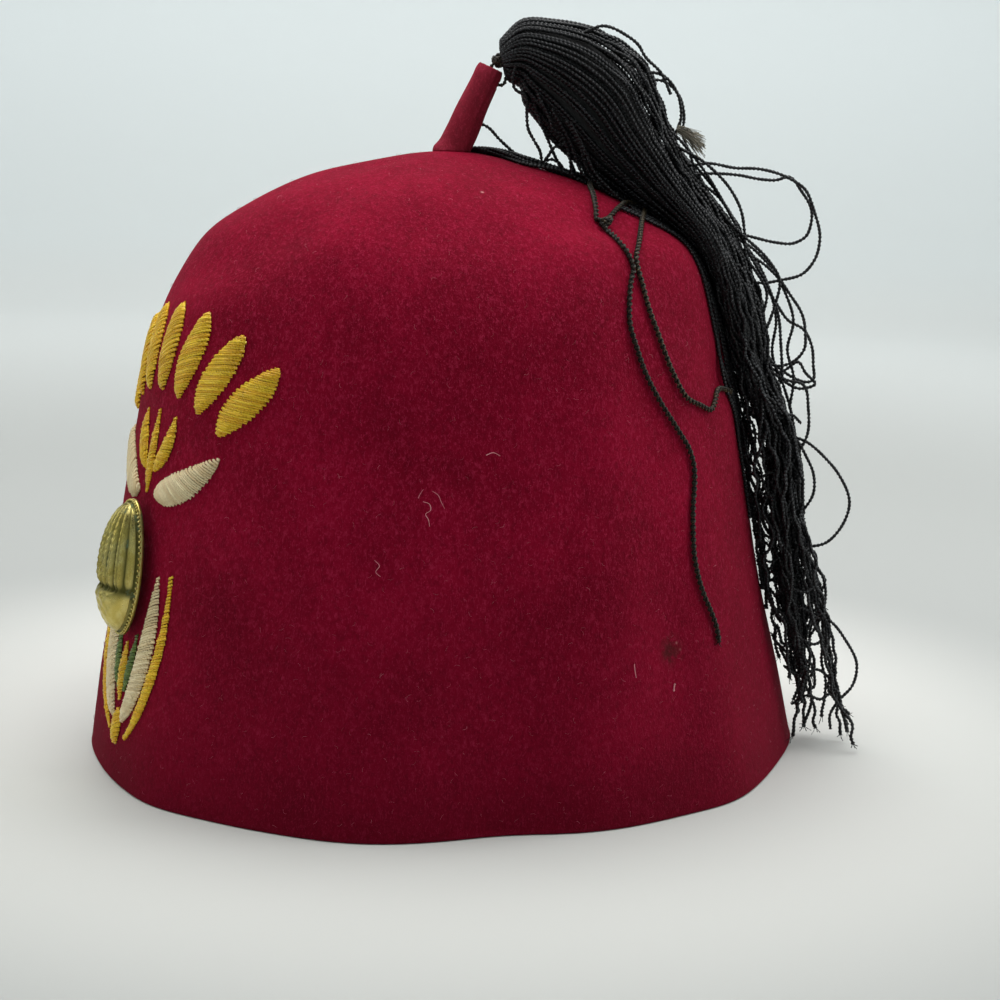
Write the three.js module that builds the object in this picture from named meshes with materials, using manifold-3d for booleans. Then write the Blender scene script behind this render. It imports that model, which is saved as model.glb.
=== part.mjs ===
// A felt fez: a domed felt crown, open below, with a rolled felt stem on top that carries a black
// corded tassel, and on its front a stitched sprig of leaves round a cast brass bud.
// Millimetres, +Z up. The front faces -Y, and the origin is the middle of the rim's flat face.
import * as THREE from "three";
import { mergeVertices } from "three/addons/utils/BufferGeometryUtils.js";
import Module from "manifold-3d";

const wasm = await Module();
wasm.setup();

const FELT_WALL = 2.2;
const GAP = 0.3; // between pieces that touch

const CROWN_COLUMNS = 56;
const OUTER_ROWS = 27;
const INNER_ROWS = 11;

// The crown is a stack of ovals. reach is half the length from front to back, side half the width,
// and lean how far the oval's middle lies in front of the origin.
const CROWN_SECTIONS = [
  { height: 0, reach: 103, side: 90, lean: 0 },
  { height: 20, reach: 99, side: 86.5, lean: 1.5 },
  { height: 45, reach: 93.3, side: 82.5, lean: 3 },
  { height: 70, reach: 89, side: 78.5, lean: 4.2 },
  { height: 95, reach: 84.5, side: 74.5, lean: 4.5 },
  { height: 115, reach: 80.4, side: 70.5, lean: 5 },
  { height: 130, reach: 75, side: 65.5, lean: 4 },
  { height: 141, reach: 68.3, side: 59.5, lean: 3.4 },
  { height: 150, reach: 55, side: 48.5, lean: 4 },
  { height: 157, reach: 39.5, side: 35, lean: 4.5 },
  { height: 162, reach: 20.7, side: 18.5, lean: 4.5 },
  { height: 164.4, reach: 8, side: 7.2, lean: 4.2 },
  { height: 165, reach: 0, side: 0, lean: 4 },
];

// Soft dents and bulges. bearing and wide are degrees round the crown from +X towards +Y, up and
// tall are measured along the wall from the rim, and out is the depth of the bulge, or minus it.
const DENTS = [
  { name: "side flat", bearing: -14.5, up: 0, wide: 7, tall: 45, out: -4 },
  { name: "near corner", bearing: -38, up: 0, wide: 7, tall: 40, out: 1.6 },
  { name: "back corner", bearing: 24, up: 0, wide: 7, tall: 45, out: 2.2 },
  { name: "back flat", bearing: 46, up: 0, wide: 9, tall: 40, out: -1.4 },
  { name: "side flute", bearing: 17, up: 38, wide: 4.5, tall: 22, out: -1.3 },
  { name: "side rib", bearing: 6, up: 85, wide: 5, tall: 40, out: 1 },
  { name: "front flat", bearing: -94, up: 0, wide: 10, tall: 30, out: -1.2 },
  { name: "front corner", bearing: -72, up: 0, wide: 6, tall: 30, out: 1.4 },
  { name: "shoulder dent", bearing: -64, up: 150, wide: 10, tall: 7, out: -2.2 },
  { name: "shoulder ridge", bearing: -50, up: 150, wide: 8, tall: 12, out: 1.5 },
  { name: "brow ridge", bearing: -70, up: 128, wide: 12, tall: 6, out: 1 },
  { name: "brow dent", bearing: -80, up: 140, wide: 8, tall: 5, out: -1.2 },
  { name: "side hollow", bearing: -20, up: 150, wide: 18, tall: 10, out: -1.8 },
  { name: "tassel hollow", bearing: 22, up: 160, wide: 9, tall: 6, out: -2.4 },
  { name: "tassel fold", bearing: 38, up: 143, wide: 7, tall: 9, out: 1.8 },
  { name: "back crease", bearing: 46, up: 110, wide: 6, tall: 4, out: -1.6 },
  { name: "back shoulder", bearing: 115, up: 148, wide: 22, tall: 9, out: -1.8 },
  { name: "far shoulder", bearing: 200, up: 142, wide: 20, tall: 10, out: -2 },
  { name: "far flute", bearing: 160, up: 20, wide: 9, tall: 40, out: -1.6 },
];

const STEM = { baseReach: -3.9, baseHeight: 163.8, topReach: 6.3, topHeight: 187.7 };
const STEM_RADIUS = { base: 4.5, top: 3.8 };
const STEM_BORE = { radius: 1.4, depth: 9, sideRadius: 1.2, sideDown: 3.6 };

const TIE_CORD_RADIUS = 0.6;
const TIE_SIDES = 6;
const TIE_STEPS = 26;
const TIE_KNOT = { along: 2.6, out: 1.6, long: 1.9, short: 1.7 };

// The tassel falls in the upright plane of this bearing, towards the wearer's left at the back.
const TASSEL_BEARING = 62;
const TASSEL_WALL_BEARING = 60;
const TASSEL_HEAD = { reach: 12.6, height: 190.2, long: 5.2, short: 4.6 };

// Where the bundle arches free of the crown: its middle, half its thickness and half its depth.
const TASSEL_ARCH = [
  { reach: 10.6, height: 190.2, thick: 3.6, depth: 4 },
  { reach: 13.5, height: 191.5, thick: 7, depth: 6.5 },
  { reach: 20, height: 190.5, thick: 10.5, depth: 9 },
  { reach: 28.5, height: 187, thick: 13.5, depth: 11 },
  { reach: 37, height: 180.5, thick: 15, depth: 13 },
  { reach: 45, height: 171.5, thick: 13.5, depth: 14 },
  { reach: 53.5, height: 162.5, thick: 11, depth: 15 },
];

// Where it lies along the wall: the distance up the wall from the rim, and the same halves.
const TASSEL_FALL = [
  { up: 142, thick: 7.6, depth: 16 },
  { up: 125, thick: 7.2, depth: 16 },
  { up: 106, thick: 6.4, depth: 15 },
  { up: 82, thick: 7.2, depth: 15 },
  { up: 56, thick: 7.4, depth: 14 },
  { up: 32, thick: 7.6, depth: 14 },
  { up: 14, thick: 7.2, depth: 13 },
];

// Each lock's place in the bundle, from -1 to 1 of the halves above, and how high it ends.
const LOCKS = [
  { thick: -0.6, depth: -0.6, end: 4 },
  { thick: -0.65, depth: 0, end: 2 },
  { thick: -0.6, depth: 0.6, end: 4.5 },
  { thick: 0, depth: -0.75, end: 7 },
  { thick: 0.05, depth: -0.25, end: 1.5 },
  { thick: 0, depth: 0.3, end: 2.5 },
  { thick: 0, depth: 0.75, end: 3.5 },
  { thick: 0.62, depth: -0.5, end: 3 },
  { thick: 0.66, depth: 0.05, end: 1.5 },
  { thick: 0.6, depth: 0.55, end: 5 },
];
const LOCK_SHARE = 0.38; // a lock's half width, as a share of the bundle's
const LOCK_SIDES = 6;
const TIP_LEAN = 1.5;

// The brass bud on the front wall, in millimetres across and along the wall.
const BUD = { up: 58, halfWide: 9, halfTall: 18, plate: 1.2, relief: 7.5, standOff: 2.4 };
const BUD_RIBS = 7;
const BUD_POST = { radius: 1, apart: 18 };
const BUD_BORDER = 0.94; // where the relief starts, as a share of the plate
const BUD_COLUMNS = 36;
const BUD_ROWS = 7;

// The stitching. u runs round the front wall from its middle towards +X, and up along the wall.
const FRONT_BEARING = -86;
const STITCH_EDGE = 0.5;
const STITCH_RISE = 1.4;
const FAN = { up: 60, from: 45, to: 68, wide: 8.6, leaves: 7, apart: 12 };
// Pieces made on both sides of the middle, each along a curve through three points.
const SIDE_PIECES = [
  { name: "cream_petal", colour: "cream", wide: 8, path: [[5, 78], [15, 81.5], [28, 91]] },
  { name: "broad_leaf", colour: "cream", wide: 6.8, path: [[3, 17], [9.7, 32], [11.8, 58]] },
  { name: "broad_leaf_edge", colour: "gold", wide: 3, path: [[6, 13], [15.4, 30], [17.4, 59]] },
  { name: "green_leaf", colour: "green", wide: 2.6, path: [[2.2, 25], [4.1, 32], [5.2, 41]] },
  { name: "twig_leaf", colour: "gold", wide: 4.2, path: [[2.2, 84], [7, 90], [9, 99]] },
];
const MIDDLE_PIECES = [
  { name: "upper_stalk", colour: "gold", wide: 3, path: [[0, 78], [0, 88], [0, 100]] },
  { name: "lower_stalk", colour: "gold", wide: 3.2, path: [[0, 22], [0, 30], [0, 38]] },
  { name: "drop", colour: "gold", wide: 5, path: [[0, 10], [0, 14.5], [0, 20]] },
];
const PIECE_STEPS = 9;

const COLOURS = {
  felt: { color: 0x8e1027, roughness: 0.95, metalness: 0 },
  cord: { color: 0x08080b, roughness: 0.55, metalness: 0 },
  tie: { color: 0x1b1d1a, roughness: 0.7, metalness: 0 },
  gold: { color: 0xd9a514, roughness: 0.45, metalness: 0 },
  cream: { color: 0xe4d3b0, roughness: 0.5, metalness: 0 },
  green: { color: 0x5e7a2c, roughness: 0.5, metalness: 0 },
  brass: { color: 0xa88e3c, roughness: 0.35, metalness: 1 },
};

const radians = THREE.MathUtils.degToRad;
const bell = (x) => Math.exp(-0.5 * x * x);

// The distance along the wall from the rim to each section, and the whole of it to the top.
const SECTION_UPS = [0];
for (let i = 1; i < CROWN_SECTIONS.length; i++) {
  const [a, b] = [CROWN_SECTIONS[i - 1], CROWN_SECTIONS[i]];
  SECTION_UPS.push(SECTION_UPS[i - 1] + Math.hypot(b.reach - a.reach, b.height - a.height));
}
const CROWN_UP = SECTION_UPS.at(-1);

// A smooth curve through one column of the crown's sections, flat at the top for height and lean.
function section(column, up) {
  const value = CROWN_SECTIONS.map((row) => row[column]);
  const last = value.length - 1;
  const step = (k) => SECTION_UPS[k + 1] - SECTION_UPS[k];
  const rate = (k) => (value[k + 1] - value[k]) / step(k);
  const slope = (k) => {
    if (k === 0) return rate(0);
    if (k === last) return column === "height" || column === "lean" ? 0 : rate(last - 1);
    return (rate(k - 1) * step(k) + rate(k) * step(k - 1)) / (step(k) + step(k - 1));
  };
  let i = 0;
  while (i < last - 1 && up >= SECTION_UPS[i + 1]) i++;
  const h = step(i);
  const x = (up - SECTION_UPS[i]) / h;
  return (
    value[i] * (1 + 2 * x) * (1 - x) ** 2 +
    slope(i) * h * x * (1 - x) ** 2 +
    value[i + 1] * x * x * (3 - 2 * x) +
    slope(i + 1) * h * x * x * (x - 1)
  );
}

function smoothCrown(bearing, up) {
  const angle = radians(bearing);
  return new THREE.Vector3(
    section("side", up) * Math.cos(angle),
    section("reach", up) * Math.sin(angle) - section("lean", up),
    section("height", up),
  );
}

function crownNormal(bearing, up) {
  if (up >= CROWN_UP - 0.5) return new THREE.Vector3(0, 0, 1);
  const low = Math.max(up - 0.4, 0);
  const round = smoothCrown(bearing + 0.3, up).sub(smoothCrown(bearing - 0.3, up));
  const rise = smoothCrown(bearing, up + 0.4).sub(smoothCrown(bearing, low));
  return round.cross(rise).normalize();
}

function dentAt(bearing, up) {
  const fade = THREE.MathUtils.smoothstep(CROWN_UP - up, 0, 25);
  let out = 0;
  for (const dent of DENTS) {
    const turned = THREE.MathUtils.euclideanModulo(bearing - dent.bearing + 180, 360) - 180;
    out += dent.out * bell(turned / dent.wide) * bell((up - dent.up) / dent.tall);
  }
  return out * fade;
}

// A point on the crown's outer face, or off it by a distance outwards.
function crownPoint(bearing, up, off = 0) {
  const normal = crownNormal(bearing, up);
  return smoothCrown(bearing, up).addScaledVector(normal, dentAt(bearing, up) + off);
}

function crownRing(up, off) {
  const ring = [];
  for (let i = 0; i < CROWN_COLUMNS; i++) {
    const point = crownPoint((360 * i) / CROWN_COLUMNS, up, off);
    if (up === 0) point.z = 0;
    ring.push(point);
  }
  return ring;
}

// A closed body through rings of points that run anticlockwise seen from the last ring, with a
// point at each end. Without a point, an end closes on the middle of its ring.
function loft(rings, first, last) {
  const middle = (ring) =>
    ring.reduce((sum, p) => sum.add(p), new THREE.Vector3()).divideScalar(ring.length);
  const count = rings[0].length;
  const points = [...rings.flat(), first ?? middle(rings[0]), last ?? middle(rings.at(-1))];
  const start = rings.length * count;
  const index = [];
  for (let j = 0; j < count; j++) {
    const next = (j + 1) % count;
    index.push(start, next, j);
    for (let i = 0; i + 1 < rings.length; i++) {
      const [a, b] = [i * count + j, i * count + next];
      index.push(a, b, b + count, a, b + count, a + count);
    }
    index.push(start + 1, start - count + j, start - count + next);
  }
  const geometry = new THREE.BufferGeometry().setFromPoints(points);
  return geometry.setIndex(index);
}

function solid(geometry) {
  const bare = geometry.clone();
  bare.deleteAttribute("normal");
  bare.deleteAttribute("uv");
  const merged = mergeVertices(bare, 1e-4);
  return new wasm.Manifold(
    new wasm.Mesh({
      numProp: 3,
      vertProperties: merged.attributes.position.array,
      triVerts: new Uint32Array(merged.index.array),
    }),
  );
}

function geometryOf(manifold) {
  const mesh = manifold.getMesh();
  return new THREE.BufferGeometry()
    .setAttribute("position", new THREE.BufferAttribute(mesh.vertProperties, 3))
    .setIndex(new THREE.BufferAttribute(mesh.triVerts, 1));
}

const hat = new THREE.Group();

function add(name, geometry, colour) {
  geometry.computeVertexNormals();
  const mesh = new THREE.Mesh(geometry, new THREE.MeshStandardMaterial(COLOURS[colour]));
  mesh.name = name;
  hat.add(mesh);
}

function crown() {
  const rings = [];
  for (let i = INNER_ROWS - 1; i >= 0; i--)
    rings.push(crownRing((CROWN_UP * i) / INNER_ROWS, -FELT_WALL));
  for (let i = 0; i < OUTER_ROWS; i++) rings.push(crownRing((CROWN_UP * i) / OUTER_ROWS, 0));
  return loft(rings, crownPoint(0, CROWN_UP, -FELT_WALL), crownPoint(0, CROWN_UP));
}

// The crown as a full body, grown by a gap, to cut what rests on it.
function crownBlock(off) {
  const rings = [];
  for (let i = 0; i < OUTER_ROWS; i++) rings.push(crownRing((CROWN_UP * i) / OUTER_ROWS, off));
  return solid(loft(rings, undefined, crownPoint(0, CROWN_UP, off)));
}

// Points of the tassel's upright plane: reach from the axis, height, and depth towards the front.
const planeOut = new THREE.Vector3(
  Math.cos(radians(TASSEL_BEARING)),
  Math.sin(radians(TASSEL_BEARING)),
  0,
);
const planeSide = new THREE.Vector3(planeOut.y, -planeOut.x, 0);
const inPlane = (reach, height, depth = 0) =>
  new THREE.Vector3(0, 0, height)
    .addScaledVector(planeOut, reach)
    .addScaledVector(planeSide, depth);

const stemTop = inPlane(STEM.topReach, STEM.topHeight);
const stemAxis = stemTop.clone().sub(inPlane(STEM.baseReach, STEM.baseHeight)).normalize();
const stemOut = planeSide.clone().cross(stemAxis).negate();
// A point near the stem's end: along its axis from the end, out towards the tassel, and aside.
const atStemEnd = (along, out, aside = 0) =>
  stemTop
    .clone()
    .addScaledVector(stemAxis, along)
    .addScaledVector(stemOut, out)
    .addScaledVector(planeSide, aside);

function rod(from, to, radius, sides, endRadius = radius) {
  const geometry = new THREE.CylinderGeometry(endRadius, radius, from.distanceTo(to), sides);
  const turn = new THREE.Quaternion().setFromUnitVectors(
    new THREE.Vector3(0, 1, 0),
    to.clone().sub(from).normalize(),
  );
  geometry.applyQuaternion(turn);
  const middle = from.clone().add(to).multiplyScalar(0.5);
  return solid(geometry.translate(middle.x, middle.y, middle.z));
}

function stem() {
  const rooted = inPlane(STEM.baseReach, STEM.baseHeight).addScaledVector(stemAxis, -4);
  const body = rod(rooted, stemTop, STEM_RADIUS.base, 20, STEM_RADIUS.top);
  const bore = rod(atStemEnd(-STEM_BORE.depth, 0), atStemEnd(1, 0), STEM_BORE.radius, 12);
  const down = -STEM_BORE.sideDown;
  const through = STEM_RADIUS.top + 1;
  const side = rod(atStemEnd(down, 0), atStemEnd(down, through), STEM_BORE.sideRadius, 12);
  return geometryOf(body.subtract(bore).subtract(side).subtract(crownBlock(GAP)));
}

function ball(centre, long, short, detail) {
  const geometry = new THREE.SphereGeometry(1, detail, detail / 2 + 1);
  const axes = new THREE.Matrix4().makeBasis(
    stemAxis.clone().multiplyScalar(long),
    stemOut.clone().multiplyScalar(short),
    planeSide.clone().multiplyScalar(-short),
  );
  return geometry.applyMatrix4(axes.setPosition(centre));
}

// A ring-shaped body: the last ring joins the first.
function closedTube(rings) {
  const count = rings[0].length;
  const total = rings.length * count;
  const index = [];
  for (let i = 0; i < rings.length; i++)
    for (let j = 0; j < count; j++) {
      const next = (j + 1) % count;
      const [a, b] = [i * count + j, i * count + next];
      index.push(a, b, (b + count) % total, a, (b + count) % total, (a + count) % total);
    }
  return new THREE.BufferGeometry().setFromPoints(rings.flat()).setIndex(index);
}

// A loop of cord into the stem's end, out of its side hole and back to a knot.
function tie(grow = 0) {
  const down = -STEM_BORE.sideDown;
  const outside = STEM_RADIUS.top + TIE_CORD_RADIUS + GAP + 0.2;
  const route = [
    atStemEnd(TIE_KNOT.along, TIE_KNOT.out - 0.8),
    atStemEnd(0.6, 0.1),
    atStemEnd(down / 2, 0),
    atStemEnd(down, 0.9),
    atStemEnd(down, 3.2),
    atStemEnd(down + 0.8, outside + 0.1),
    atStemEnd(-0.8, outside),
    atStemEnd(1.1, outside - 0.1),
  ];
  const loop = new THREE.CatmullRomCurve3(route, true);
  const frames = loop.computeFrenetFrames(TIE_STEPS, true);
  const rings = [];
  for (let i = 0; i < TIE_STEPS; i++) {
    const ring = [];
    for (let j = 0; j < TIE_SIDES; j++) {
      const angle = (2 * Math.PI * j) / TIE_SIDES;
      ring.push(
        loop
          .getPointAt(i / TIE_STEPS)
          .addScaledVector(frames.normals[i], (TIE_CORD_RADIUS + grow) * Math.cos(angle))
          .addScaledVector(frames.binormals[i], (TIE_CORD_RADIUS + grow) * Math.sin(angle)),
      );
    }
    rings.push(ring);
  }
  const { along, out, long, short } = TIE_KNOT;
  const knot = solid(ball(atStemEnd(along, out), long + grow, short + grow, 12));
  return solid(closedTube(rings)).add(knot);
}

// The bundle's frames from the knot to the rim: a middle, a way across its thickness, a way across
// its depth, and a function that puts a share of the two halves in space.
function bundleStations() {
  const stations = TASSEL_ARCH.map((row, k) => {
    const before = TASSEL_ARCH[Math.max(k - 1, 0)];
    const after = TASSEL_ARCH[Math.min(k + 1, TASSEL_ARCH.length - 1)];
    const flow = Math.atan2(after.height - before.height, after.reach - before.reach);
    const across = k === 0 ? Math.PI / 2 : flow + Math.PI / 2;
    return (thick, depth) =>
      inPlane(
        row.reach + Math.cos(across) * row.thick * thick,
        row.height + Math.sin(across) * row.thick * thick,
        row.depth * depth,
      );
  });
  for (const row of TASSEL_FALL)
    stations.push((thick, depth) => {
      const aside = (row.depth * depth) / section("reach", row.up);
      const bearing = TASSEL_WALL_BEARING - THREE.MathUtils.radToDeg(aside);
      return crownPoint(bearing, row.up, GAP + row.thick * (thick + 1));
    });
  return stations;
}

function lock(place, stations) {
  const rings = stations.map((at, k) => {
    const share = k === stations.length - 1 ? LOCK_SHARE * 0.8 : LOCK_SHARE;
    const ring = [];
    for (let j = 0; j < LOCK_SIDES; j++) {
      const angle = (2 * Math.PI * j) / LOCK_SIDES;
      ring.push(
        at(place.thick + share * Math.cos(angle), place.depth + share * Math.sin(angle)),
      );
    }
    return ring;
  });
  const low = rings.at(-1).reduce((sum, p) => sum.add(p), new THREE.Vector3());
  low.divideScalar(LOCK_SIDES);
  const tip = low.clone().setZ(place.end).addScaledVector(planeOut, TIP_LEAN);
  const narrow = rings.at(-1).map((p) => {
    const moved = p.clone().sub(low).multiplyScalar(0.55).add(low);
    return moved.lerp(tip, 0.6);
  });
  return solid(loft([...rings, narrow], undefined, tip));
}

// The largest closed skin of a body, which leaves out the pockets shut in between locks.
function outerShell(body) {
  return body.decompose().sort((a, b) => b.volume() - a.volume())[0];
}

function tassel() {
  const stations = bundleStations();
  const { reach, height, long, short } = TASSEL_HEAD;
  let body = solid(ball(inPlane(reach, height), long, short, 12));
  for (const place of LOCKS) body = body.add(lock(place, stations));
  body = body.subtract(crownBlock(GAP + 0.1));
  body = body.subtract(tie(GAP));
  const clear = rod(atStemEnd(-14, 0), atStemEnd(0.4, 0), STEM_RADIUS.base + GAP, 20);
  return geometryOf(outerShell(body.subtract(clear)));
}

// A point of the front wall: u round it from the middle, up along it, and off its face.
function onFront(u, up, off) {
  const bearing = FRONT_BEARING + THREE.MathUtils.radToDeg(u / section("side", up));
  return crownPoint(bearing, up, off);
}

// A padded piece of satin stitch along a curve on the front wall, widest past its middle.
function stitched(path, wide) {
  const [a, b, c] = path.map(([u, up]) => new THREE.Vector2(u, up));
  const through = b.clone().multiplyScalar(2).sub(a.clone().add(c).multiplyScalar(0.5));
  const curve = new THREE.QuadraticBezierCurve(a, through, c);
  const rings = [];
  for (let i = 1; i < PIECE_STEPS; i++) {
    const t = i / PIECE_STEPS;
    const at = curve.getPoint(t);
    const way = curve.getTangent(t);
    const half = (wide / 2) * Math.sin(Math.PI * t) ** 0.7;
    const put = (side, off) => onFront(at.x + way.y * side, at.y - way.x * side, off);
    rings.push([
      put(-half, GAP),
      put(-half, GAP + STITCH_EDGE),
      put(0, GAP + STITCH_RISE),
      put(half, GAP + STITCH_EDGE),
      put(half, GAP),
      put(0, GAP),
    ]);
  }
  const end = GAP + STITCH_EDGE / 2;
  return loft(rings, onFront(a.x, a.y, end), onFront(c.x, c.y, end));
}

function fanLeaf(turn) {
  const at = (far) => [
    far * Math.sin(radians(turn)),
    FAN.up + far * Math.cos(radians(turn)),
  ];
  return stitched([at(FAN.from), at((FAN.from + FAN.to) / 2), at(FAN.to)], FAN.wide);
}

// The bud's relief over its plate, for x across and y along its oval, each from -1 to 1: a cup of
// plain metal below a waist, and above it ribs that meet at the tip.
function budHeight(x, y) {
  const inside = Math.max(1 - x * x - y * y, 0);
  const across = x / Math.sqrt(Math.max(1 - y * y, 0.02));
  const rib = Math.abs(Math.sin((Math.PI / 2) * BUD_RIBS * across));
  const cup = THREE.MathUtils.smoothstep(-y, 0.28, 0.36);
  const waist = bell((y + 0.3) / 0.06);
  const ribs = (1 - cup) * 0.16 * (rib - 1);
  return Math.sqrt(inside) * (0.94 + ribs + 0.06 * cup - 0.14 * waist);
}

function bud() {
  const middle = onFront(0, BUD.up, 0);
  const normal = crownNormal(FRONT_BEARING, BUD.up);
  const across = new THREE.Vector3(0, 0, 1).cross(normal).normalize();
  const along = normal.clone().cross(across);
  const put = (x, y, off) =>
    middle
      .clone()
      .addScaledVector(across, x * BUD.halfWide)
      .addScaledVector(along, y * BUD.halfTall)
      .addScaledVector(normal, off);
  const ring = (scale, off) =>
    Array.from({ length: BUD_COLUMNS }, (_, j) => {
      const angle = (2 * Math.PI * j) / BUD_COLUMNS;
      const [x, y] = [scale * Math.cos(angle), scale * Math.sin(angle)];
      return put(x, y, off(x, y));
    });
  const face = BUD.standOff + BUD.plate;
  const onPlate = (x, y) => face + BUD.relief * budHeight(x / 0.95, y / 0.95);
  const rings = [ring(1, () => BUD.standOff), ring(1, () => face)];
  for (let k = 0; k < BUD_ROWS; k++)
    rings.push(ring(BUD_BORDER * Math.cos(((Math.PI / 2) * k) / (BUD_ROWS + 0.4)), onPlate));
  const top = put(0, 0, onPlate(0, 0));
  let body = solid(loft(rings, put(0, 0, BUD.standOff), top));
  for (const side of [-1, 1]) {
    const y = (side * BUD_POST.apart) / 2;
    const foot = onFront(0, BUD.up + y, GAP + 0.15);
    const head = foot.clone().addScaledVector(normal, BUD.standOff);
    body = body.add(rod(foot, head, BUD_POST.radius, 10));
  }
  return geometryOf(body);
}

add("crown", crown(), "felt");
add("stem", stem(), "felt");
add("tie", geometryOf(tie()), "tie");
add("tassel", tassel(), "cord");
add("brass_bud", bud(), "brass");
for (let i = 0; i < FAN.leaves; i++) {
  const turn = FAN.apart * (i - (FAN.leaves - 1) / 2);
  add(`fan_leaf_${i + 1}`, fanLeaf(turn), "gold");
}
for (const { name, colour, wide, path } of MIDDLE_PIECES) add(name, stitched(path, wide), colour);
for (const { name, colour, wide, path } of SIDE_PIECES) {
  add(`${name}_left`, stitched(path, wide), colour);
  const mirrored = path.map(([u, up]) => [-u, up]);
  add(`${name}_right`, stitched(mirrored, wide), colour);
}

export default hat;
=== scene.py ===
import math

import bpy
import numpy as np
from mathutils import Matrix, Vector
from mathutils.bvhtree import BVHTree


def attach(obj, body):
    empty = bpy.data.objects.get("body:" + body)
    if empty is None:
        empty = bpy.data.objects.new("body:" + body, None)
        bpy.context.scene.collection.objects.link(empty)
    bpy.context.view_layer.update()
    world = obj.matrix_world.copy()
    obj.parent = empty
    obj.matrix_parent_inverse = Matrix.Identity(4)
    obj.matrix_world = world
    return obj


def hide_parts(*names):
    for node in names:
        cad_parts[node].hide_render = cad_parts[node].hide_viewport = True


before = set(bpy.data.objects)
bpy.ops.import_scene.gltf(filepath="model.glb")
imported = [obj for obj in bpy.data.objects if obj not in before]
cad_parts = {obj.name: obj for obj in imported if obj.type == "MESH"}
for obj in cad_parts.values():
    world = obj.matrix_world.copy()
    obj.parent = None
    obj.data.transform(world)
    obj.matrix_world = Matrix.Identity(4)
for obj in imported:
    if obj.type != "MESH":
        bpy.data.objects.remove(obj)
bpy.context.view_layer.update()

BODY = "root"
MM = 0.001
FELT_WALL = 2.2
GAP = 0.3

# The crown, in millimetres

# Ovals up the crown: height, half length front to back, half width, and how far forward it leans.
SECTION_NAMES = ("height", "reach", "side", "lean")
SECTIONS = np.array([
    (0, 103, 90, 0),
    (20, 99, 86.5, 1.5),
    (45, 93.3, 82.5, 3),
    (70, 89, 78.5, 4.2),
    (95, 84.5, 74.5, 4.5),
    (115, 80.4, 70.5, 5),
    (130, 75, 65.5, 4),
    (141, 68.3, 59.5, 3.4),
    (150, 55, 48.5, 4),
    (157, 39.5, 35, 4.5),
    (162, 20.7, 18.5, 4.5),
    (164.4, 8, 7.2, 4.2),
    (165, 0, 0, 4),
])

# Dents and bulges: bearing in degrees, distance up the wall, half widths in both, and depth.
DENTS = np.array([
    (-14.5, 0, 7, 45, -4),
    (-38, 0, 7, 40, 1.6),
    (24, 0, 7, 45, 2.2),
    (46, 0, 9, 40, -1.4),
    (17, 38, 4.5, 22, -1.3),
    (6, 85, 5, 40, 1),
    (-94, 0, 10, 30, -1.2),
    (-72, 0, 6, 30, 1.4),
    (-64, 150, 10, 7, -2.2),
    (-50, 150, 8, 12, 1.5),
    (-70, 128, 12, 6, 1),
    (-80, 140, 8, 5, -1.2),
    (-20, 150, 18, 10, -1.8),
    (22, 160, 9, 6, -2.4),
    (38, 143, 7, 9, 1.8),
    (46, 110, 6, 4, -1.6),
    (115, 148, 22, 9, -1.8),
    (200, 142, 20, 10, -2),
    (160, 20, 9, 40, -1.6),
])

UPS = np.concatenate([[0], np.cumsum(np.hypot(np.diff(SECTIONS[:, 1]), np.diff(SECTIONS[:, 0])))])
CROWN_UP = UPS[-1]


def between(values, slopes, i, x, h):
    """A smooth curve from each value i to the next, at a share x of the step h between them."""
    start = values[i] * (1 + 2 * x) * (1 - x) ** 2 + slopes[i] * h * x * (1 - x) ** 2
    end = values[i + 1] * x * x * (3 - 2 * x) + slopes[i + 1] * h * x * x * (x - 1)
    return start + end


def section(name, up):
    """A smooth curve through one column of the sections, flat at the top for height and lean."""
    column = SECTION_NAMES.index(name)
    value = SECTIONS[:, column]
    step = np.diff(UPS)
    rate = np.diff(value) / step
    slope = np.empty(len(value))
    slope[0] = rate[0]
    slope[1:-1] = (rate[:-1] * step[1:] + rate[1:] * step[:-1]) / (step[1:] + step[:-1])
    slope[-1] = 0 if name in ("height", "lean") else rate[-1]
    i = np.clip(np.searchsorted(UPS, up, side="right") - 1, 0, len(step) - 1)
    return between(value, slope, i, (up - UPS[i]) / step[i], step[i])


def smooth_crown(bearing, up):
    angle = np.radians(bearing)
    return np.stack(
        [
            section("side", up) * np.cos(angle),
            section("reach", up) * np.sin(angle) - section("lean", up),
            section("height", up) + 0 * angle,
        ],
        axis=-1,
    )


def unit(vectors):
    return vectors / np.maximum(np.linalg.norm(vectors, axis=-1, keepdims=True), 1e-9)


def smooth_normal(bearing, up):
    low = np.maximum(up - 0.4, 0)
    high = np.minimum(up + 0.4, CROWN_UP)
    round_ = smooth_crown(bearing + 0.3, up) - smooth_crown(bearing - 0.3, up)
    rise = smooth_crown(bearing, high) - smooth_crown(bearing, low)
    normal = unit(np.cross(round_, rise))
    top = np.broadcast_to(np.asarray(up) >= CROWN_UP - 0.5, normal.shape[:-1])
    normal[top] = (0, 0, 1)
    return normal


def ease(x):
    x = np.clip(x, 0, 1)
    return x * x * (3 - 2 * x)


def relief(bearing, up):
    """Dents, bulges and the felt's faint unevenness, outwards along the normal."""
    out = 0 * bearing + 0 * up
    for at_bearing, at_up, wide, tall, depth in DENTS:
        turned = (bearing - at_bearing + 180) % 360 - 180
        out = out + depth * np.exp(-0.5 * ((turned / wide) ** 2 + ((up - at_up) / tall) ** 2))
    angle = np.radians(bearing)
    uneven = (
        0.16 * np.sin(5 * angle + up / 19 + 1.1)
        + 0.13 * np.sin(9 * angle - up / 11 + 0.4) * np.sin(up / 17)
        + 0.07 * np.sin(17 * angle + up / 7 + 2.3) * np.sin(up / 9 + 3 * angle)
    )
    return (out + uneven) * ease((CROWN_UP - up) / 25)


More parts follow.
